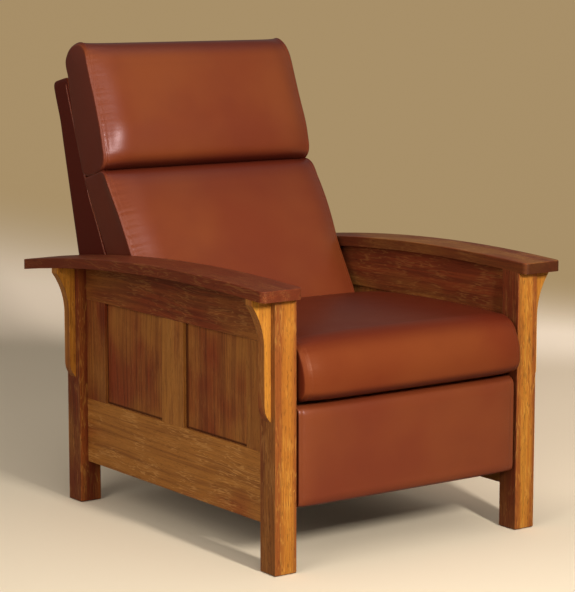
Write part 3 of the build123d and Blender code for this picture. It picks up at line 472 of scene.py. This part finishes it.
def normals(points):
    # outward normals of a grid that is closed along its columns, from the cross of its two runs
    down = np.gradient(points, axis=0)
    around = np.roll(points, -1, 1) - np.roll(points, 1, 1)
    outward = np.cross(around, down)
    return outward / np.maximum(np.linalg.norm(outward, axis=2)[..., None], 1e-12)


def lengthAlong(line):
    # how far each point of a line is from its start, along the line
    return np.concatenate([[0], np.cumsum(np.linalg.norm(np.diff(line, axis=0), axis=1))])


def carried(steps, along, values):
    # rows of three values, read off at steps along the line that they belong to
    return np.stack([np.interp(steps, along, values[:, k]) for k in range(3)], -1)


def cordPiece(name, path, radius, material, outward, sides=10):
    # a round cord along a path, closed at its ends: each ring is the radius times the cosine of the turn
    # along the outward direction, made square to the path, plus its sine along the cross of that and the
    # path's run
    ahead = np.gradient(path, axis=0)
    ahead /= np.linalg.norm(ahead, axis=1)[:, None]
    out = np.broadcast_to(np.asarray(outward, float), path.shape)
    out = out - (out * ahead).sum(1)[:, None] * ahead
    out /= np.linalg.norm(out, axis=1)[:, None]
    side = np.cross(ahead, out)
    turn = np.linspace(0, 2 * np.pi, sides, endpoint=False)
    ring = np.cos(turn)[None, :, None] * out[:, None] + np.sin(turn)[None, :, None] * side[:, None]
    rows = len(path)
    faces = gridFaces(rows, sides)[:, ::-1]
    caps = [list(range(sides)), list(range((rows - 1) * sides, rows * sides))[::-1]]
    return meshPiece(name, path[:, None] + radius * ring, faces, material, caps=caps)


# the shape of a cushion

def easedCorners(corners):
    # where a run is more than twice as long as the one beside it, a point is added as far from
    # their corner as that neighbour is long, so that the curve doesn't swing out of a long straight run
    knots = np.array(corners, float)
    runs = np.roll(knots, -1, 0) - knots
    lengths = np.hypot(runs[:, 0], runs[:, 1])
    before = np.roll(lengths, 1)
    after = np.roll(lengths, -1)
    eased = []
    for knot, run, length, lengthBefore, lengthAfter in zip(knots, runs, lengths, before, after):
        eased.append(knot)
        if length > 2 * lengthBefore:
            eased.append(knot + run * lengthBefore / length)
        if length > 2 * lengthAfter:
            eased.append(knot + run * (1 - lengthAfter / length))
    return np.array(eased)


def softLoop(corners, count, softness):
    # a closed cubic curve through the corners, whose slope at each is that of the parabola through it and
    # its neighbours; it is walked at even steps and blurred along its length by softness; the crown's share
    # and the extra half width are carried the same way
    knots = easedCorners(corners)
    knots = np.vstack([knots, knots[:1]])
    along = np.concatenate([[0], np.cumsum(np.hypot(*np.diff(knots[:, :2], axis=0).T))])
    gap = np.diff(along)[:, None]
    chord = np.diff(knots, axis=0) / gap
    chordBefore = np.roll(chord, 1, 0)
    gapBefore = np.roll(gap, 1, 0)
    slope = (chordBefore * gap + chord * gapBefore) / (gap + gapBefore)
    slope = np.vstack([slope, slope[:1]])
    steps = np.linspace(0, along[-1], count, endpoint=False)
    here = np.searchsorted(along, steps, "right") - 1
    t = ((steps - along[here]) / gap[here, 0])[:, None]
    loop = ((1 + 2 * t) * (1 - t) ** 2 * knots[here] + t * (1 - t) ** 2 * gap[here] * slope[here]
            + t**2 * (3 - 2 * t) * knots[here + 1] - t**2 * (1 - t) * gap[here] * slope[here + 1])
    frequency = np.fft.fftfreq(count, along[-1] / count)
    blur = np.exp(-2 * (np.pi * frequency * softness) ** 2)
    return np.real(np.fft.ifft(np.fft.fft(loop, axis=0) * blur[:, None], axis=0)), steps


padLook = {
    "flat": 0.9, "turned": (0.94, 0.97, 0.985, 0.995),      # an end panel's rings, as shares of its reach
    "evenSteps": 0.25, "crownPower": 2.6, "endReach": 400,
    "seamWidth": 2.2, "stitchWidth": 1.8, "stitchDepth": 0.45, "grooveFrom": 0.96,
    "bendEvery": 0.09, "bend": 0.6, "bendTurn": 6, "sewnBelow": 0.05, "weld": 0.00005,
}


def endRings(look):
    # a bulged flat out to the flat share, then a quarter round that turns over the seam
    flat = padLook["flat"]
    seamX = look["half"] - look["seamInset"]
    share = np.concatenate([np.linspace(0, flat, look["endRings"]), padLook["turned"]])
    shoulder = np.sqrt(1 - ((share - flat) / (1 - flat)).clip(0, 1) ** 2)
    bulged = look["half"] + look["endBulge"] * (1 - (share / flat) ** 2)
    return share, np.where(share < flat, bulged, seamX + (look["half"] - seamX) * shoulder)


def shapeCushion(look):
    # rings of the outline at stations from the core of one end panel, over its seam, across the face
    # and down to the core of the other end, all in millimetres; the face is crowned outwards and
    # rolls off to the seams as rise times (1 - q squared) to the power swell, q being 1 at the seam;
    # the extra half width comes in with the cube of a ring's size, and tilt lowers one side
    loop, run = softLoop(look["outline"], look["columns"], look["softness"])
    outline, weight = loop[:, :2], loop[:, 2]
    wider = loop[:, 3] if loop.shape[1] > 3 else 0 * weight
    coreA, coreB = (np.array(c, float) for c in look["core"])
    axis = coreB - coreA
    share = np.clip(((outline - coreA) @ axis) / (axis @ axis), 0, 1)
    core = coreA + share[:, None] * axis
    reach = np.linalg.norm(outline - core, axis=1)
    away = (outline - core) / reach[:, None]

    seamX = look["half"] - look["seamInset"]
    endShare, endX = endRings(look)
    t = np.linspace(-1, 1, look["faceRings"])
    even = padLook["evenSteps"]
    faceX = seamX * (even * t + (1 - even) * np.sin(t * np.pi / 2))
    x = np.concatenate([-endX, faceX, endX[::-1]])
    size = np.concatenate([endShare, np.ones(len(faceX)), endShare[::-1]])
    isFace = size == 1
    q = np.clip((np.abs(x) - (seamX - look["roll"])) / look["roll"], 0, 1)
    domed = look["crown"] * (1 - np.clip(np.abs(x) / seamX, 0, 1) ** padLook["crownPower"])
    crown = np.where(isFace, domed + look["rise"] * (1 - q**2) ** look["swell"], 0.0)

    distance = reach[None, :] * size[:, None] + crown[:, None] * weight[None, :]
    ring = core[None] + away[None] * distance[..., None]
    spread = x[:, None] * (1 + wider[None, :] * size[:, None] ** 3 / look["half"])
    points = np.concatenate([spread[..., None], ring], 2)
    points[..., 2] -= look["tilt"] * points[..., 0]
    return {
        "points": points, "x": x, "size": size, "face": isFace,
        "seamX": seamX, "run": run, "weight": weight,
    }


def seamMap(shape):
    # each face corner's run along the seam and its distance from it, in metres
    rows, columns = shape["points"].shape[:2]
    inFace = shape["seamX"] - np.abs(shape["x"])
    distance = np.where(shape["face"], inFace, padLook["endReach"] * (1 - shape["size"])) / 1000
    run = shape["run"] / 1000
    nextRun = np.append(run[1:], run[-1] * 2 - run[-2])
    here = np.broadcast_to(distance[:, None], (rows, columns))
    seam = np.empty((rows - 1, columns, 4, 2))
    seam[:, :, 0, 0] = seam[:, :, 3, 0] = run
    seam[:, :, 1, 0] = seam[:, :, 2, 0] = nextRun
    seam[:, :, 0, 1] = seam[:, :, 1, 1] = here[:-1]
    seam[:, :, 2, 1] = seam[:, :, 3, 1] = here[1:]
    return seam


def gathers(shape, look):
    # small folds that run out from both seams and die away, deeper where the crown is full: sine waves
    # along the seam, each bent by a longer one, that fade as exp(-distance / gatherFade)
    rng = np.random.default_rng(look["seed"])
    run = shape["run"] / 1000
    folds = np.zeros(len(run))
    for wave in look["gatherWaves"]:
        first = rng.uniform(0, 2 * np.pi)
        turn = rng.uniform(0, padLook["bendTurn"])
        bends = first + padLook["bend"] * np.sin(2 * np.pi * run / padLook["bendEvery"] + turn)
        folds += np.sin(2 * np.pi * run / wave + bends) / len(look["gatherWaves"])
    inward = np.clip(shape["seamX"] - np.abs(shape["x"]), 0, None) / 1000
    strength = look["gather"] / 1000 * np.exp(-inward / look["gatherFade"]) * shape["face"]
    return folds[None, :] * strength[:, None] * shape["weight"].clip(0, 1)[None, :]


def grooves(shape, look):
    # the seam's groove and a shallower one under the stitches, each a bell curve across the seam
    fromSeam = np.abs(shape["x"]) - shape["seamX"]
    bySeam = np.exp(-(fromSeam / padLook["seamWidth"]) ** 2)
    byStitch = padLook["stitchDepth"] * np.exp(-((fromSeam + look["stitch"]) / padLook["stitchWidth"]) ** 2)
    return look["groove"] / 1000 * (bySeam + byStitch) * (shape["size"] > padLook["grooveFrom"])


clothLook = {
    "quality": 6, "mass": 0.4, "tension_stiffness": 20, "compression_stiffness": 20, "shear_stiffness": 12,
    "bending_stiffness": 4.0, "use_pressure": True, "vertex_group_mass": "sewn",
}
puffFrames = 20


def puff(piece, points, shape, look):
    # air pressure swells the leather between its seams, which are pinned, and a move m becomes
    # cap * tanh(m / cap)
    sewn = piece.vertex_groups.new(name="sewn")
    held = np.zeros(points.shape[:2], bool)
    seams = np.flatnonzero(np.diff(shape["face"].astype(int)))
    held[seams] = held[seams + 1] = True
    held[:, shape["weight"] < padLook["sewnBelow"]] = True
    held[0] = held[-1] = True
    sewn.add(np.flatnonzero(held.ravel()).tolist(), 1.0, "REPLACE")
    cloth = piece.modifiers.new("puff", "CLOTH")
    for key, value in clothLook.items():
        setattr(cloth.settings, key, value)
    cloth.settings.uniform_pressure_force = look["pressure"]
    cloth.settings.shrink_min = look["slack"]
    cloth.settings.effector_weights.gravity = 0
    cloth.collision_settings.use_collision = False
    for step in range(1, puffFrames + 1):
        bpy.context.scene.frame_set(step)
    depsgraph = bpy.context.evaluated_depsgraph_get()
    swollen = readPoints(piece.evaluated_get(depsgraph).data).reshape(points.shape)
    piece.modifiers.remove(cloth)
    piece.vertex_groups.remove(sewn)
    bpy.context.scene.frame_set(1)
    move = swollen - points
    far = np.linalg.norm(move, axis=2)[..., None]
    cap = look["cap"] / 1000
    print("   swelled by", round(float(far.max()) * 1000, 1), "mm at most, kept to", look["cap"])
    return points + move * (cap * np.tanh(far / cap) / np.maximum(far, 1e-9))


def cushion(name, body, node, look, material):
    # a padded piece in place of its node: the shaped grid, swelled, gathered and grooved
    shape = shapeCushion(look)
    points = shape["points"] / 1000 + np.array([0, frontY, 0])
    rows, columns = points.shape[:2]
    piece = meshPiece(name, points, gridFaces(rows, columns), material, seamMap(shape))
    if look["pressure"]:
        points = puff(piece, points, shape, look)
    lift = gathers(shape, look) - grooves(shape, look)[:, None]
    points = points + normals(points) * lift[..., None]
    piece.data.vertices.foreach_set("co", points.astype(np.float32).ravel())
    piece.data.update()
    piece.modifiers.new("closeCore", "WELD").merge_threshold = padLook["weld"]
    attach(piece, body)
    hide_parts(node)
    print(name, "made,", rows * columns, "points")
    return dict(shape, points=points)


# the pads: outlines are (depth, height, crown's share), for the pillows with the extra half width, in
# millimetres, and so are the other lengths, but for the gathers' fade and waves in metres

headLook = {
    "outline": [(842, 778, 0, 0), (814, 789, 0, 2), (795, 799, 0.05, 3), (786, 811, 0.28, 3),
                (784, 827, 0.55, 3), (789, 852, 0.82, 3), (795, 876, 0.95, 3), (802, 899, 1, 2),
                (822, 950, 1, 0), (845, 1006, 1, 0), (857, 1036, 0.9, 0), (868, 1062, 0.65, -2),
                (879, 1078, 0.35, -5), (893, 1087, 0.05, -6), (908, 1090, -0.08, -6),
                (925, 1087, -0.08, -4), (943, 1077, -0.03, 0), (957, 1063, 0, 0), (966, 1045, 0, 0),
                (964, 1030, 0, 0), (955, 1009, 0, 0), (928, 884, 0, 0), (888, 777, 0, 0)],
    "core": ((850, 840), (905, 1025)), "half": 298, "seamInset": 7, "endBulge": 1.5, "tilt": 0.006,
    "endRings": 12, "faceRings": 84, "columns": 220, "softness": 4.0,
    "crown": 2.5, "roll": 66, "rise": 19, "swell": 0.95, "fill": 0.9,
    "pressure": 4.0, "slack": -0.004, "cap": 4,
    "gather": 0.5, "gatherFade": 0.02, "gatherWaves": (0.021, 0.034, 0.013), "seed": 3,
    "groove": 1.8, "stitch": 8,
}
head = cushion("headPillow", "back", "head_pillow", headLook, leather)

lumbarLook = {
    "outline": [(677, 413, 0, 0), (615, 420, 0, 0), (578, 428, 0.1, 0), (564, 440, 0.3, 0),
                (569, 455, 0.4, 0), (585, 474, 0.5, 0), (622, 537, 0.8, 0), (664, 605, 1, 2),
                (689, 652, 1, 5), (716, 699, 1, 7), (742, 737, 1, 8), (757, 758, 0.95, 8),
                (768, 775, 0.75, 8), (782, 790, 0.25, 6), (800, 794, 0, 3), (850, 780, 0, 0),
                (884, 766, 0, 0), (840, 690, 0, 0), (784, 598, 0, 0)],
    "core": ((645, 470), (805, 748)), "half": 298, "seamInset": 7, "endBulge": 1.5, "tilt": 0.004,
    "endRings": 12, "faceRings": 84, "columns": 220, "softness": 4.0,
    "crown": 3, "roll": 74, "rise": 22.5, "swell": 0.9, "fill": 0.9,
    "pressure": 4.0, "slack": -0.006, "cap": 4,
    "gather": 0.9, "gatherFade": 0.022, "gatherWaves": (0.019, 0.027, 0.012), "seed": 11,
    "groove": 1.8, "stitch": 8,
}
lumbar = cushion("lumbarPillow", "back", "lumbar_pillow", lumbarLook, leather)

seatLook = {
    "outline": [(26, 371, 0), (4, 371, 0.2), (-11, 377, 0.7), (-20, 389, 1), (-22, 408, 1.1),
                (-20, 430, 1.1), (-10, 458, 1.1), (2, 479, 1), (14, 490, 1), (32, 496, 1),
                (90, 499, 1), (180, 501, 1), (330, 500, 1), (460, 493, 1), (560, 478, 0.8),
                (577, 468, 0.4), (578, 455, 0), (562, 420, 0), (548, 398, 0), (40, 392, 0)],
    "core": ((50, 436), (510, 436)), "half": 300, "seamInset": 9, "endBulge": 1.5, "tilt": 0,
    "endRings": 12, "faceRings": 84, "columns": 320, "softness": 4.0,
    "crown": 3, "roll": 70, "rise": 8, "swell": 0.6, "fill": 0.9,
    "pressure": 4.0, "slack": -0.004, "cap": 5,
    "gather": 0.6, "gatherFade": 0.016, "gatherWaves": (0.02, 0.031, 0.012), "seed": 5,
    "groove": 1.8, "stitch": 8,
}
seat = cushion("seatPad", "seat", "seat_cushion", seatLook, seatLeather)

footrestLook = {
    "outline": [(45, 139, 0), (14, 139, 0.1), (3, 144, 0.4), (0.5, 157, 0.9), (0.5, 250, 1),
                (0.5, 332, 0.9), (3, 350, 0.5), (14, 359.5, 0.2), (45, 359.5, 0)],
    "core": ((24, 166), (24, 330)), "half": 300, "seamInset": 10, "endBulge": 0.8, "tilt": 0,
    "endRings": 10, "faceRings": 84, "columns": 220, "softness": 3.0,
    "crown": 1.5, "roll": 45, "rise": 5.5, "swell": 0.6, "fill": 0.95,
    "pressure": 3.0, "slack": -0.003, "cap": 2.5,
    "gather": 0.25, "gatherFade": 0.014, "gatherWaves": (0.03, 0.047), "seed": 9,
    "groove": 0.0, "stitch": 8,
}
cushion("footrestCover", "footrest", "footrest_pad", footrestLook, footLeather)

coverLook = {
    "outline": [(704.5, 302, 0), (697.8, 340, 0), (691.8, 372, 0), (686, 396, 0), (684.5, 409, 0),
                (690, 424, 0), (700, 442, 0), (785, 597, 0), (878, 761, 0), (925, 884, 0),
                (955, 980, 0), (963, 1004, 0), (972, 1006, 0.2), (1000, 1000, 0.3), (1021, 995, 0.4),
                (1029, 990, 0.7), (1030, 981, 0.9), (1024, 962, 1), (1003, 905, 1), (970, 772, 1),
                (920, 572, 1), (870, 372, 1), (853, 301.5, 0.6)],
    "core": ((770, 420), (945, 900)), "half": 293, "seamInset": 2.5, "endBulge": 0.8, "tilt": 0,
    "endRings": 14, "faceRings": 60, "columns": 260, "softness": 3.0,
    "crown": 0.0, "roll": 5, "rise": 0.8, "swell": 0.6, "fill": 0.98, "pressure": 0.0,
    "gather": 0.0, "gatherFade": 0.014, "gatherWaves": (0.03, 0.047), "seed": 9,
    "groove": 0.0, "stitch": 8,
}
cushion("backCover", "back", "back_cover", coverLook, coverLeather)


# welt and stitches

# the line is (depth, height) and x the half width, in millimetres; the radius is in metres
weltLook = {
    "radius": 0.0024, "x": 293.2, "points": 420, "roundings": 6, "outward": (0, -0.9, 0.43),
    "line": [(712, 446), (797, 598), (832, 666), (867, 726),
             (880, 761), (902, 812), (937, 904), (971, 994)],
}


def weltPath():
    # even steps up one front edge of the cover, across its top and down the other, with rounded corners
    upwards = [(-weltLook["x"], *spot) for spot in weltLook["line"]]
    downwards = [(weltLook["x"], *spot) for spot in reversed(weltLook["line"])]
    corners = np.array(upwards + downwards, float)
    along = lengthAlong(corners)
    path = carried(np.linspace(0, along[-1], weltLook["points"]), along, corners)
    for turn in range(weltLook["roundings"]):
        path[1:-1] = (path[:-2] + 2 * path[1:-1] + path[2:]) / 4
    return path / 1000 + np.array([0, frontY, 0])


welt = cordPiece("coverWelt", weltPath(), weltLook["radius"], leather, weltLook["outward"])
welt.data.uv_layers.new(name="seam")      # the leather reads this map; the default one will do for a welt
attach(welt, "back")

# lengths in metres; arch, tip and shownFrom are shares
stitchLook = {
    "length": 0.0036, "pitch": 0.0052, "radius": 0.00045, "fromSeam": 0.008, "lift": 0.0001, "arch": 0.8,
    "tip": 0.35, "rings": 5, "sides": 6, "shownFrom": 0.3,
}


def stitches(name, body, made, look=stitchLook):
    # short threads laid on the face panel, one row beside each seam; a thread's radius goes from its tip's
    # share to the whole as the sine of its length, and its middle stands off the leather the same way
    shown = np.flatnonzero(made["weight"] > look["shownFrom"])
    faceRows = np.flatnonzero(made["face"])
    outward = normals(made["points"])
    spots = []
    ups = []
    for side in (-1, 1):
        target = side * (made["seamX"] - look["fromSeam"] * 1000)
        row = faceRows[np.argmin(np.abs(made["x"][faceRows] - target))]
        line = made["points"][row][shown]
        along = lengthAlong(line)
        begin = np.arange(0, along[-1] - look["length"], look["pitch"])
        steps = begin[:, None] + np.linspace(0, look["length"], look["rings"])[None, :]
        spots.append(carried(steps, along, line))
        ups.append(carried(steps, along, outward[row][shown]))
    spot = np.concatenate(spots)
    up = np.concatenate(ups)
    ahead = np.gradient(spot, axis=1)
    ahead /= np.linalg.norm(ahead, axis=2)[..., None]
    side = np.cross(ahead, up)
    arch = np.sin(np.linspace(0, np.pi, look["rings"]))
    turn = np.linspace(0, 2 * np.pi, look["sides"], endpoint=False)[:, None]
    thick = look["radius"] * (look["tip"] + (1 - look["tip"]) * arch)[:, None, None]
    centre = spot + up * (look["lift"] + look["radius"] * look["arch"] * arch)[:, None]
    ring = centre[:, :, None] + thick * (np.cos(turn) * up[:, :, None] + np.sin(turn) * side[:, :, None])
    thread = gridFaces(look["rings"], look["sides"])[:, ::-1]
    first = np.arange(len(ring)) * look["rings"] * look["sides"]
    piece = meshPiece(name, ring, (thread[None] + first[:, None, None]).reshape(-1, 4), threadFinish)
    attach(piece, body)


stitches("headStitches", "back", head)
stitches("lumbarStitches", "back", lumbar)
stitches("seatStitches", "seat", seat)
print("welt and stitches made")


# camera

# the place is from the front posts' faces; the focal length is in the picture's pixels
cameraLook = {
    "focal": 2270.8, "pictureWidth": 575, "sensor": 36, "place": (-3.05189, -3.79739, 1.32109),
    "turn": math.radians(-35.62), "dip": math.radians(8.78), "farthest": 60,
}
viewAhead = np.array([-math.sin(cameraLook["turn"]), math.cos(cameraLook["turn"])])
viewAside = np.array([math.cos(cameraLook["turn"]), math.sin(cameraLook["turn"])])


def setCamera(look=cameraLook):
    camera = bpy.data.objects.new("camera", bpy.data.cameras.new("camera"))
    bpy.context.scene.collection.objects.link(camera)
    camera.location = Vector(look["place"]) + Vector((0, frontY, 0))
    forward = Vector((*(viewAhead * math.cos(look["dip"])), -math.sin(look["dip"])))
    camera.rotation_euler = forward.to_track_quat("-Z", "Y").to_euler()
    camera.data.sensor_fit = "HORIZONTAL"
    camera.data.sensor_width = look["sensor"]
    camera.data.lens = look["focal"] * look["sensor"] / look["pictureWidth"]
    camera.data.clip_end = look["farthest"]
    bpy.context.scene.camera = camera


setCamera()


# paper sweep

# lengths in metres; the steps are places along the paper, away from the camera, or across it
stageLook = {
    "front": -5.0, "bend": 2.3, "curve": 1.6, "top": 1.3, "half": 7.0,
    "flatRows": 60, "curveRows": 50, "columns": 12,
    "roughness": 0.9, "gloss": 0.1, "toothScale": 500.0, "tooth": 0.1, "toothDepth": 0.0005,
    "skew": 0.25, "wallStep": (2.62, 3.22), "bandStep": (1.9, 2.55), "bandAcross": (-1.4, 1.6),
    "farAcross": (0.0, 0.75), "farAlong": (-0.15, 0.45), "mirrored": 0.12,
    "floor": (0.97, 0.84, 0.65, 1.0), "band": (1.0, 0.86, 0.7, 1.0), "wall": (0.1, 0.085, 0.06, 1.0),
    "bounce": (0.3, 0.25, 0.19, 1.0), "noGlow": (0.0, 0.0, 0.0, 1.0), "wallGlow": rgb(158, 133, 94),
    "floorGlow": (0.008, 0.006, 0.004, 1.0), "farFloorGlow": (0.25, 0.185, 0.13, 1.0),
    "bandGlowLeft": (0.19, 0.15, 0.11, 1.0), "bandGlowRight": (0.52, 0.42, 0.32, 1.0),
}


def sweep(look=stageLook):
    # a floor that bends up into a low wall, square to the camera: its profile carried sideways
    ahead = np.linspace(look["front"], look["bend"], look["flatRows"])
    flat = np.stack([ahead, 0 * ahead], 1)
    turn = np.linspace(0, math.acos(1 - look["top"] / look["curve"]), look["curveRows"])[1:]
    arc = np.stack([look["bend"] + look["curve"] * np.sin(turn), look["curve"] * (1 - np.cos(turn))], 1)
    profile = np.concatenate([flat, arc])
    run = look["front"] + lengthAlong(profile)
    across = np.linspace(-look["half"], look["half"], look["columns"])
    points = np.empty((len(profile), len(across), 3))
    points[..., :2] = profile[:, None, :1] * viewAhead + across[None, :, None] * viewAside
    points[..., 2] = profile[:, None, 1]
    faces = gridFaces(len(profile), len(across), False)[:, ::-1]
    place = np.stack(np.broadcast_arrays(across[None, :], run[:, None]), -1).reshape(-1, 2)
    return points, faces, place[faces]


def paperMaterial(look=stageLook):
    # paper that the camera sees pale, with a band of painted light across the bend, while it throws less
    # light back
    material, start = newMaterial("studioPaper")
    place = start.make("UVMap", {"uv_map": "seam"})
    across = place.axis("X")
    run = place.axis("Y") + across * look["skew"]
    wall = run.between(*look["wallStep"])
    band = run.between(*look["bandStep"]) * (1.0 - wall)
    mirrored = start.make("LightPath", out="Is Glossy Ray") * look["mirrored"]
    seen = start.make("LightPath", out="Is Camera Ray").maths("MAXIMUM", mirrored)
    colour = wall.tint(band.tint(look["floor"], look["band"]), look["wall"])
    # painted light: the band across the bend glows brighter towards the right, the far floor on the right
    # glows as a pool of light, and a faint glow lifts the rest of the floor
    bandGlow = across.between(*look["bandAcross"]).tint(look["bandGlowLeft"], look["bandGlowRight"])
    farFloor = across.between(*look["farAcross"]) * run.between(*look["farAlong"])
    floorGlow = farFloor.tint(look["floorGlow"], look["farFloorGlow"])
    glow = wall.tint(band.tint(floorGlow, bandGlow), look["wallGlow"])
    tooth = start.make("TexCoord", out="Object").noise(look["toothScale"])
    finishMaterial(start, {
        "Base Color": seen.tint(look["bounce"], colour),
        "Roughness": look["roughness"], "Specular IOR Level": look["gloss"],
        "Normal": tooth.bump(look["tooth"], look["toothDepth"]),
        "Emission Color": seen.tint(look["noGlow"], glow), "Emission Strength": 1.0})
    return material


points, faces, place = sweep()
meshPiece("studioSweep", points, faces, paperMaterial(), place)


# lamps and world

lampLooks = {
    "key": dict(place=(-0.4, -3.2, 1.78), aim=(0.0, 0.0, 0.6), size=(0.2, 0.5), power=82, lean=0,
                colour=(1.0, 0.95, 0.87)),
    "top": dict(place=(0.2, -0.2, 3.7), aim=(0.0, 0.0, 0.0), size=(2.6, 2.6), power=12, lean=0,
                colour=(1.0, 0.95, 0.88)),
    "strip": dict(place=(-1.6, -2.85, 2.6), aim=(-0.2, 0.2, 0.8), size=(1.1, 3.0), power=24, lean=-38,
                  colour=(1.0, 0.95, 0.88)),
    "left": dict(place=(-3.2, -1.35, 2.1), aim=(0.0, 0.0, 0.9), size=(1.9, 2.8), power=48, lean=0,
                 colour=(1.0, 0.94, 0.86)),
}
worldLook = {"Color": (1.0, 0.94, 0.86, 1.0), "Strength": 0.18}


def addLamp(name, look):
    lamp = bpy.data.lights.new(name, "AREA")
    lamp.shape = "RECTANGLE"
    lamp.size, lamp.size_y = look["size"]
    lamp.energy = look["power"]
    lamp.color = look["colour"]
    holder = bpy.data.objects.new(name, lamp)
    bpy.context.scene.collection.objects.link(holder)
    holder.location = look["place"]
    towards = Vector(look["aim"]) - Vector(look["place"])
    holder.rotation_euler = towards.to_track_quat("-Z", "Y").to_euler()
    holder.rotation_euler.rotate_axis("Z", math.radians(look["lean"]))


for name, look in lampLooks.items():
    addLamp(name, look)

world = bpy.data.worlds.new("studio")
bpy.context.scene.world = world
world.use_nodes = True
world.node_tree.nodes.clear()
sky = Wire(world.node_tree)
sky.make("OutputWorld", None, {"Surface": sky.make("Background", None, worldLook)})
bpy.context.scene.view_settings.view_transform = "Standard"
print("camera, paper, lamps and world set")
